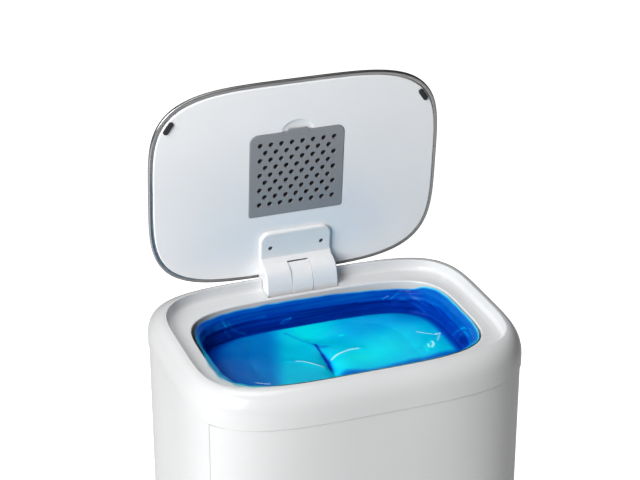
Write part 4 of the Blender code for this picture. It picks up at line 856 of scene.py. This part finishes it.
def make_bracket():
    """Plate with a softly rounded edge, and two arms that curl round the axis."""
    under = PANEL_H - BRACKET_T
    half = BRACKET_W / 2
    length = BRACKET_REACH - BRACKET_BEND / 2
    radii = (BRACKET_CORNER, BRACKET_CORNER, 0.001, 0.001)
    outline = rounded(BRACKET_W, length, radii, (0, -BRACKET_REACH + length / 2), 12)
    plate = slab(outline, under, PANEL_H - GAP)
    round_rim(plate, lambda edge: all(abs(vert.co.z - under) < 1e-6 for vert in edge.verts), PLATE_ROUND, 6)
    bracket = piece("fine_bracket", plate, ON_LID, HINGE_WHITE_PAINTED_LIGHT, "white_plastic", "lid", "hinge_bracket")
    arms = [(-BRACKET_BEND - 0.0016, under), (-BRACKET_BEND, under - 0.0002)]
    arms += [(-y, z) for y, z in reversed(arm_outline())]
    arms += arc((0, 0), BOSS_R, math.radians(-60), math.radians(20), 12)
    arms += [((BOSS_R - GAP) * math.cos(LID_OPEN / 2), PANEL_H - 2 * GAP), (-BRACKET_BEND, PANEL_H - 2 * GAP)]
    sides = prism(arms, -half + GAP / 3, half - GAP / 3)
    round_rim(sides, lambda edge: (abs(abs(edge.verts[0].co.x) - half + GAP / 3) < 1e-6
                                   and abs(edge.verts[0].co.x - edge.verts[1].co.x) < 1e-6
                                   and min(vert.co.z for vert in edge.verts) < under + 0.001), ARM_ROUND, 5)
    carve(bracket, sides, "UNION")
    slot = SLOT_W / 2
    carve(bracket, block((-slot, -SLOT_REACH, -ARM_R * 2), (slot, ARM_R, PANEL_H + OVERRUN)))
    carve(bracket, rod((-half * 2, 0, 0), (half * 2, 0, 0), PIN_R + PIN_PLAY))
    crank = (-CRANK_R * math.cos(LID_OPEN / 2), -CRANK_R * math.sin(LID_OPEN / 2))
    carve(bracket, rod((-slot - WALL, *crank), (slot + WALL, *crank), CRANK_PIN_R), "UNION")
    for side in (-1, 1):
        place = (side * SCREW_X, -SCREW_REACH)
        carve(bracket, rod((*place, under - OVERRUN), (*place, under + SCREW_HEAD_DEEP), SCREW_HEAD_R))
        carve(bracket, rod((*place, under), (*place, PANEL_H + OVERRUN), SCREW_HOLE_R))
    finish_piece(bracket, WALL_EASE)


def make_hinge_cover():
    """Curved cover between the arms."""
    inner, outer = ARM_R + GAP - ARM_COVER_T, ARM_R + GAP
    start, end = math.radians(-100), math.radians(-12)
    curve = arc((0, ARM_RISE), outer, start, end, 28) + arc((0, ARM_RISE), inner, end, start, 28)
    half = SLOT_W / 2 - GAP
    cover = piece("fine_hinge_cover", prism([(-y, z) for y, z in curve], -half, half), ON_LID, HINGE_WHITE_PAINTED_LIGHT,
                  "white_plastic", "lid", "hinge_cover")
    finish_piece(cover, 0.0005, segments=3)


def lid_oval(inset, height):
    """The lid's outline, set in from its edge, at a height above the panel's face."""
    return oval(LID_W - 2 * inset, LID_D - 2 * inset, LID_POWER, PANEL_H + height, -HINGE_Y)


def make_lid():
    """Domed steel skin with a rolled hem, and the white panel inside it."""
    rise = LID_RISE - LID_EDGE_H
    dome = [(LID_D * inset, LID_EDGE_H + rise * share) for inset, share in zip(dome_insets, dome_rises)]
    dome = smooth_line(dome, 6)
    hem = [(0, LID_EDGE_H - LID_SKIN)]
    hem += [(HEM_ROLL - HEM_ROLL * math.cos(turn), HEM_LIFT + HEM_ROLL - HEM_ROLL * math.sin(turn))
            for turn in quarter(6)]
    hem += [(HEM_W - HEM_EASE, HEM_LIFT), (HEM_W, HEM_LIFT + HEM_EASE)]
    outside = dome[::-1] + hem
    inside = [(HEM_W, HEM_LIFT + PANEL_T + GAP)]
    inside += [(inset + LID_SKIN, height - LID_SKIN) for inset, height in dome[10:]]
    rings = [lid_oval(inset, height) for inset, height in outside + inside]
    lid = piece("fine_lid_skin", skin(rings), ON_LID, LID_STEEL, "brushed_steel", "lid", "lid_skin")
    finish_piece(lid, angle=50)
    inset = HEM_W + GAP
    rings = [lid_oval(inset + PANEL_EASE * (1 - math.sin(turn)), PANEL_EASE * (1 - math.cos(turn)))
             for turn in quarter(4)]
    rings.append(lid_oval(inset, PANEL_T))
    panel = piece("fine_lid_panel", skin(rings), ON_LID, LID_WHITE_PAINTED_LIGHT, "white_plastic", "lid", "lid_panel")
    centre = (0, -HINGE_Y - COVER_Y)
    tray_top = PANEL_H + COVER_T + FILTER_T + 2 * GAP + TRAY_T
    carve(panel, slab(rounded(COVER_W + 2 * TRAY_T, COVER_L + 2 * TRAY_T, COVER_RADII, centre),
                      PANEL_H + PANEL_T / 2, tray_top), "UNION")
    carve(panel, slab(rounded(COVER_W + 2 * GAP, COVER_L + 2 * GAP, COVER_RADII, centre),
                      PANEL_H - OVERRUN, tray_top - TRAY_T))
    scoop = bmesh.new()
    bmesh.ops.create_uvsphere(scoop, u_segments=48, v_segments=24, radius=1)
    bmesh.ops.scale(scoop, vec=SCOOP, verts=scoop.verts)
    bmesh.ops.translate(scoop, vec=(0, centre[1] - COVER_L / 2, PANEL_H), verts=scoop.verts)
    carve(panel, scoop)
    for side in (-1, 1):
        place = (side * SCREW_X, -SCREW_REACH)
        carve(panel, rod((*place, 0), (*place, PANEL_H + PANEL_T + OVERRUN), SCREW_HOLE_R))
    finish_piece(panel, EDGE_EASE, angle=50)


def make_filter_cover():
    """Perforated cover with rounded upper edges and a tab at its top."""
    centre = (0, -HINGE_Y - COVER_Y)
    mesh = slab(rounded(COVER_W, COVER_L, COVER_RADII, centre), PANEL_H - COVER_DEEP, PANEL_H + COVER_T)
    round_rim(mesh, lambda edge: all(vert.co.z < PANEL_H for vert in edge.verts), COVER_ROUND, 3)
    cover = piece("fine_filter_cover", mesh, ON_LID, GREY, "grey_plastic", "lid", "filter_cover")
    for row in range(HOLE_ROWS):
        count = 8 - row % 2
        y = -HINGE_Y - GRID_Y + (row - (HOLE_ROWS - 1) / 2) * HOLE_ROW
        holes = bmesh.new()
        for column in range(count):
            x = (column - (count - 1) / 2) * HOLE_PITCH
            bmesh.ops.create_cone(holes, cap_ends=True, segments=28, radius1=HOLE_D / 2, radius2=HOLE_D / 2,
                                  depth=4 * OVERRUN, matrix=Matrix.Translation((x, y, PANEL_H)))
        carve(cover, holes)
    tab = slab(rounded(TAB_W, 2 * TAB_REACH, (TAB_REACH - 0.0001,) * 2 + (0.0011,) * 2,
                       (0, centre[1] - COVER_L / 2)), PANEL_H - TAB_HALF_T, PANEL_H + TAB_HALF_T)
    carve(cover, tab, "UNION")
    finish_piece(cover)


def make_bumpers():
    """Two rubber buffers with domed faces."""
    for name, side in (("left", -1), ("right", 1)):
        mesh = slab(rounded(BUMPER_L, BUMPER_W, (BUMPER_CORNER,) * 4), -BUMPER_H, -GAP)
        round_rim(mesh, lambda edge: all(vert.co.z < -BUMPER_H / 2 for vert in edge.verts), BUMPER_ROUND, 4)
        x, y = side * (LID_W / 2 - BUMPER_IN[0]), -HINGE_Y - (LID_D / 2 - BUMPER_IN[1])
        place = ON_LID @ Matrix.Translation((x, y, PANEL_H)) @ Matrix.Rotation(side * BUMPER_TURN, 4, "Z")
        bumper = piece("fine_bumper_" + name, mesh, place,
                       RUBBER, "black_rubber", "lid", "lid_bumper_" + name)
        finish_piece(bumper)


def outer_rings(foot, top, ease_low, ease_high, steps=4):
    """The body's outer face between two heights, with eased edges."""
    rings = []
    for turn in quarter(steps):
        inset = 2 * ease_low * (1 - math.sin(turn))
        rings.append(body_oval(BODY_W - inset, BODY_D - inset, foot + ease_low * (1 - math.cos(turn))))
    for turn in quarter(4):
        inset = 2 * ease_high * (1 - math.cos(turn))
        rings.append(body_oval(BODY_W - inset, BODY_D - inset, top - ease_high * (1 - math.sin(turn))))
    return rings


def wall_rings(foot, top, ease_low, ease_high):
    """The wall of the housing and the door, outside and inside."""
    width, depth = BODY_W - 2 * WALL, BODY_D - 2 * WALL
    return outer_rings(foot, top, ease_low, ease_high) + [
        body_oval(width, depth, top), body_oval(width, depth, foot)]


def make_housing():
    """Back and sides; the whole front is the door's opening."""
    foot, top = BASE_H + GAP, CREST - COLLAR_H - GAP
    mesh = skin(wall_rings(foot, top, WALL_EASE, EDGE_EASE), closed=True)
    housing = piece("fine_housing", mesh, IN_BIN, WHITE, "white_plastic", "bin", "housing")
    half = DOOR_HALF + SEAM / 4
    carve(housing, block((-half, -BODY_D, foot - OVERRUN), (half, -BODY_D / 4, top + OVERRUN)))
    finish_piece(housing, EDGE_EASE)


def make_door():
    """Front door that wraps round the corners, with ribs inside and two hinge lugs."""
    top = CREST - COLLAR_H - SEAM / 2
    mesh = skin(wall_rings(DOOR_FOOT, top, DOOR_EASE, WALL_EASE), closed=True)
    door = piece("fine_door", mesh, IN_BIN, WHITE, "white_plastic", "door", "front_door")
    axis_y, axis_z = DOOR_AXIS_Y, DOOR_FOOT + DOOR_AXIS_UP
    back = BODY_D / 4 - WALL
    sweep = top - axis_z + SEAM / 8
    window = [(back, -DOOR_AXIS_UP - OVERRUN), (-BODY_D, -DOOR_AXIS_UP - OVERRUN), (-BODY_D, sweep)]
    window += [(back * step / 12, math.sqrt(sweep * sweep - (back * step / 12) ** 2)) for step in range(13)]
    carve(door, prism([(y + axis_y, z + axis_z) for y, z in window], -DOOR_HALF, DOOR_HALF), "INTERSECT")
    wall = -BODY_D / 2 + WALL
    lug_x = DOOR_HALF * LUG_SHARE
    rib_x = lug_x * 1.25
    height = top - DOOR_FOOT
    for side in (-1, 1):
        x = side * rib_x
        rib_top = axis_z + height - RIB_MARGIN - DOOR_AXIS_UP
        carve(door, block((x - RIB_T / 2, wall - WALL / 2, axis_z + RIB_MARGIN),
                          (x + RIB_T / 2, wall + RIB_H, rib_top)), "UNION")
        lug = arc((axis_y, axis_z), LUG_R, -math.pi / 2, math.pi / 2, 20)
        lug += [(wall - WALL / 2, axis_z + LUG_R), (wall - WALL / 2, axis_z - LUG_R)]
        carve(door, prism(lug, side * lug_x - LUG_W / 2, side * lug_x + LUG_W / 2), "UNION")
        carve(door, rod((side * lug_x - LUG_W, axis_y, axis_z),
                        (side * lug_x + LUG_W, axis_y, axis_z), LUG_BORE_R))
    for share in (0.25, 0.50, 0.75):
        z = axis_z + RIB_MARGIN + (height - 2 * RIB_MARGIN) * share
        carve(door, block((-rib_x, wall - WALL / 2, z - RIB_T / 2),
                          (rib_x, wall + RIB_H, z + RIB_T / 2)), "UNION")
    finish_piece(door, EDGE_EASE)


def make_base():
    """Lower shell with the pedal's slot, axle ears, posts and the door's hinge ears."""
    foot, floor = BASE_CLEAR, BASE_CLEAR + BASE_WALL
    inner_w, inner_d = BODY_W - 2 * BASE_WALL, BODY_D - 2 * BASE_WALL
    rings = outer_rings(foot, BASE_H, BASE_TOE, BASE_EASE, 8)
    rings += [body_oval(inner_w, inner_d, BASE_H), body_oval(inner_w, inner_d, floor + BASE_TOE),
              body_oval(inner_w - 2 * BASE_TOE, inner_d - 2 * BASE_TOE, floor)]
    base = piece("fine_base", skin(rings), IN_BIN, WHITE, "white_plastic", "bin", "base")
    slot = PEDAL_SLOT_W / 2
    carve(base, block((-slot, -BODY_D, foot - OVERRUN), (slot, -BODY_D / 2 + OVERRUN, PEDAL_SLOT_TOP)))
    axis_y, axis_z = DOOR_AXIS_Y, DOOR_FOOT + DOOR_AXIS_UP
    back, front = axis_y + LUG_R + EAR_LEG / 2, -BODY_D / 2 + BASE_WALL / 2
    for side in (-1, 1):
        near, far = sorted((side * AXLE_EAR_IN, side * (AXLE_EAR_IN + AXLE_EAR_T)))
        ear = [(AXLE_Y + 2 * HUB_R, floor - BASE_WALL / 2), (AXLE_Y - 2 * HUB_R, floor - BASE_WALL / 2)]
        ear += arc((AXLE_Y, AXLE_H), HUB_R, math.pi, 0, 24)
        carve(base, prism(ear, near, far), "UNION")
        lug = side * DOOR_HALF * LUG_SHARE
        for inner in (lug - LUG_W / 2 - LUG_SPACE - EAR_W, lug + LUG_W / 2 + LUG_SPACE):
            leg = arc((axis_y, axis_z), LUG_R, math.radians(200), 0, 24)
            leg += [(back, axis_z - LUG_R), (back, EAR_FOOT), (front, EAR_FOOT),
                    (front, BASE_H - DOOR_AXIS_IN), (axis_y + LUG_R / 2, BASE_H - DOOR_AXIS_IN / 2),
                    (axis_y + LUG_R / 2, axis_z - LUG_R)]
            carve(base, prism(leg, inner, inner + EAR_W), "UNION")
        for end in (-1, 1):
            x, y = side * BODY_W / 2 * POST_SHARES[0], end * BODY_D / 2 * POST_SHARES[1]
            carve(base, rod((x, y, floor - BASE_WALL / 2), (x, y, POST_TOP), POST_R), "UNION")
    reach = DOOR_HALF * LUG_SHARE * 2
    carve(base, rod((-reach, axis_y, axis_z), (reach, axis_y, axis_z), EAR_BORE_R))
    carve(base, rod((-AXLE_BORE_REACH, AXLE_Y, AXLE_H), (AXLE_BORE_REACH, AXLE_Y, AXLE_H), AXLE_BORE_R))
    finish_piece(base, EDGE_EASE)


def smooth_group():
    """Geometry nodes that shade a moulded CAD node smooth but for its sharp edges."""
    group = bpy.data.node_groups.new("smooth_by_angle", "GeometryNodeTree")
    group.interface.new_socket("Geometry", in_out="INPUT", socket_type="NodeSocketGeometry")
    group.interface.new_socket("Geometry", in_out="OUTPUT", socket_type="NodeSocketGeometry")
    nodes, links = group.nodes, group.links
    start, end = nodes.new("NodeGroupInput"), nodes.new("NodeGroupOutput")
    faces, edges = nodes.new("GeometryNodeSetShadeSmooth"), nodes.new("GeometryNodeSetShadeSmooth")
    edges.domain = "EDGE"
    angle, limit = nodes.new("GeometryNodeInputMeshEdgeAngle"), nodes.new("FunctionNodeCompare")
    limit.operation = "LESS_THAN"
    limit.inputs["B"].default_value = math.radians(32)
    links.new(angle.outputs["Unsigned Angle"], limit.inputs["A"])
    links.new(start.outputs[0], faces.inputs["Geometry"])
    links.new(faces.outputs["Geometry"], edges.inputs["Geometry"])
    links.new(limit.outputs["Result"], edges.inputs["Shade Smooth"])
    links.new(edges.outputs["Geometry"], end.inputs[0])
    return group


def soften(group, width, *names):
    """Ease the edges of CAD nodes that stay in view, with modifiers alone."""
    for name in names:
        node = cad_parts[name]
        if width:
            step = node.modifiers.new("ease", "BEVEL")
            step.width = width
            step.segments = 2
            step.limit_method = "ANGLE"
            step.angle_limit = math.radians(50)
        node.modifiers.new("smooth", "NODES").node_group = group


def make_stage():
    """Pale floor that brightens far behind the bin; off camera its glow is weak."""
    mesh = bmesh.new()
    bmesh.ops.create_grid(mesh, x_segments=1, y_segments=1, size=12)
    floor = to_object("floor", mesh)
    pale, nodes, links, shader = new_material("pale_floor")
    put(shader, {"Base Color": (0.95, 0.95, 0.95, 1), "Roughness": 0.9, "Emission Color": (1, 1, 1, 1)})
    place = nodes.new("ShaderNodeTexCoord")
    reach = nodes.new("ShaderNodeVectorMath")
    reach.operation = "DOT_PRODUCT"
    reach.inputs[1].default_value = (0.35, 0.937, 0)
    links.new(place.outputs["Object"], reach.inputs[0])
    glow = nodes.new("ShaderNodeMapRange")
    glow.interpolation_type = "SMOOTHSTEP"
    put(glow, {"From Min": 0.15, "From Max": 0.60, "To Min": FLOOR_NEAR, "To Max": FLOOR_FAR})
    links.new(reach.outputs["Value"], glow.inputs["Value"])
    ray = nodes.new("ShaderNodeLightPath")
    seen = add_range(nodes, links, ray.outputs["Is Camera Ray"], {"To Min": FLOOR_BOUNCE})
    share = nodes.new("ShaderNodeMath")
    share.operation = "MULTIPLY"
    links.new(glow.outputs["Result"], share.inputs[0])
    links.new(seen, share.inputs[1])
    links.new(share.outputs["Value"], shader.inputs["Emission Strength"])
    floor.data.materials.append(pale)


def area_light(name, place, target, size, power):
    """A square studio light that faces a point."""
    lamp = bpy.data.lights.new(name, "AREA")
    lamp.shape = "RECTANGLE"
    lamp.size = size
    lamp.size_y = size
    lamp.energy = power
    light = scene_object(name, lamp)
    light.location = place
    light.rotation_euler = (Vector(target) - Vector(place)).to_track_quat("-Z", "Y").to_euler()


def make_light():
    """Dim surroundings, a key light from the left and a weaker one from above."""
    world = bpy.data.worlds.new("studio")
    world.use_nodes = True
    put(world.node_tree.nodes["Background"], {"Color": (1, 1, 1, 1), "Strength": 0.03})
    bpy.context.scene.world = world
    middle = (0, 0, CREST)
    area_light("key", (-1.9, -1.2, 1.9), middle, 1.6, 86)
    area_light("top", (-0.3, 0.2, 2.9), middle, 1.4, 20)
    bpy.context.scene.view_settings.view_transform = "Standard"


def make_camera():
    """The photograph's view."""
    data = bpy.data.cameras.new("camera")
    data.lens = CAMERA_LENS
    data.sensor_width = SENSOR
    data.clip_start = 0.05
    camera = scene_object("camera", data)
    camera.location = CAMERA_PLACE
    camera.rotation_euler = CAMERA_TURN
    bpy.context.scene.camera = camera


# One white plastic in three copies of different brightness: the lid's and the hinge's lighter copies are
# painted light, the body's darker copy painted shade.
WHITE = make_white("white_gloss", (0.66, 0.665, 0.67), (0.69, 0.695, 0.70))
LID_WHITE_PAINTED_LIGHT = make_white("white_gloss_lid_painted_light", (0.90, 0.905, 0.915), (0.94, 0.945, 0.955))
HINGE_WHITE_PAINTED_LIGHT = make_white("white_gloss_hinge_painted_light", (0.80, 0.80, 0.81), (0.84, 0.84, 0.85))
GREY = tinted("grey_satin", (0.26, 0.268, 0.285), (0.29, 0.298, 0.315), 0.42, grain=900, bump=0.12)
WORKS = tinted("grey_works", (0.16, 0.165, 0.175), (0.20, 0.205, 0.215), 0.5, grain=600, bump=0.1)
RUBBER = tinted("black_rubber", (0.012, 0.012, 0.014), (0.028, 0.028, 0.031), 0.62, grain=1400, bump=0.2)
CARBON = make_carbon()
LID_STEEL = make_steel("brushed_lid_steel", (0.25, 12, 12), 0.30)
SMALL_STEEL = make_steel("turned_steel", (1, 6, 6), 0.25)
# Screw steel made nearly black as painted shade of the screws' deep holes.
SCREW_STEEL_PAINTED_SHADE = tinted("screw_steel_painted_shade", (0.045, 0.045, 0.05), (0.07, 0.07, 0.075), 0.6, grain=1200, bump=0.1)
BLUE = make_film_blue()

SCREWS = ("hinge_screw_left", "hinge_screw_right")
GUIDES = ("rod_guide_low", "rod_guide_middle", "rod_guide_high")
FEET = (
    "rubber_foot_front_left", "rubber_foot_front_right",
    "rubber_foot_back_left", "rubber_foot_back_right")
STEEL_PIECES = (
    "hinge_pin_left", "hinge_pin_right", "push_rod", "jaw_pin_left", "jaw_pin_right",
    "jaw_spring_left", "jaw_spring_right", "door_pin_left", "door_pin_right",
    "frame_screw_front_left", "frame_screw_front_right",
    "frame_screw_back_left", "frame_screw_back_right", "catch_plate", "pedal_axle")
dress(WHITE, "jaw_frame", "inner_floor")
dress(GREY, "pedal")
dress(SCREW_STEEL_PAINTED_SHADE, *SCREWS)
dress(WORKS, "lift_yoke", *GUIDES, "film_cassette", "jaw_left", "jaw_right", "door_catch")
dress(SMALL_STEEL, *STEEL_PIECES)
dress(RUBBER, *FEET, "pedal_pad")
dress(CARBON, "carbon_filter")

make_collar()
make_bracket()
make_hinge_cover()
make_lid()
make_filter_cover()
make_bumpers()
make_housing()
make_door()
make_base()
SMOOTH = smooth_group()
soften(SMOOTH, WALL_EASE, "pedal", "jaw_frame", "jaw_left", "jaw_right", "pedal_pad", "door_catch")
soften(SMOOTH, 0.0, "inner_floor", "carbon_filter", "film_cassette", "lift_yoke",
       *GUIDES, *SCREWS, *STEEL_PIECES, *FEET)
make_film()
make_bag()
make_stage()
make_light()
make_camera()
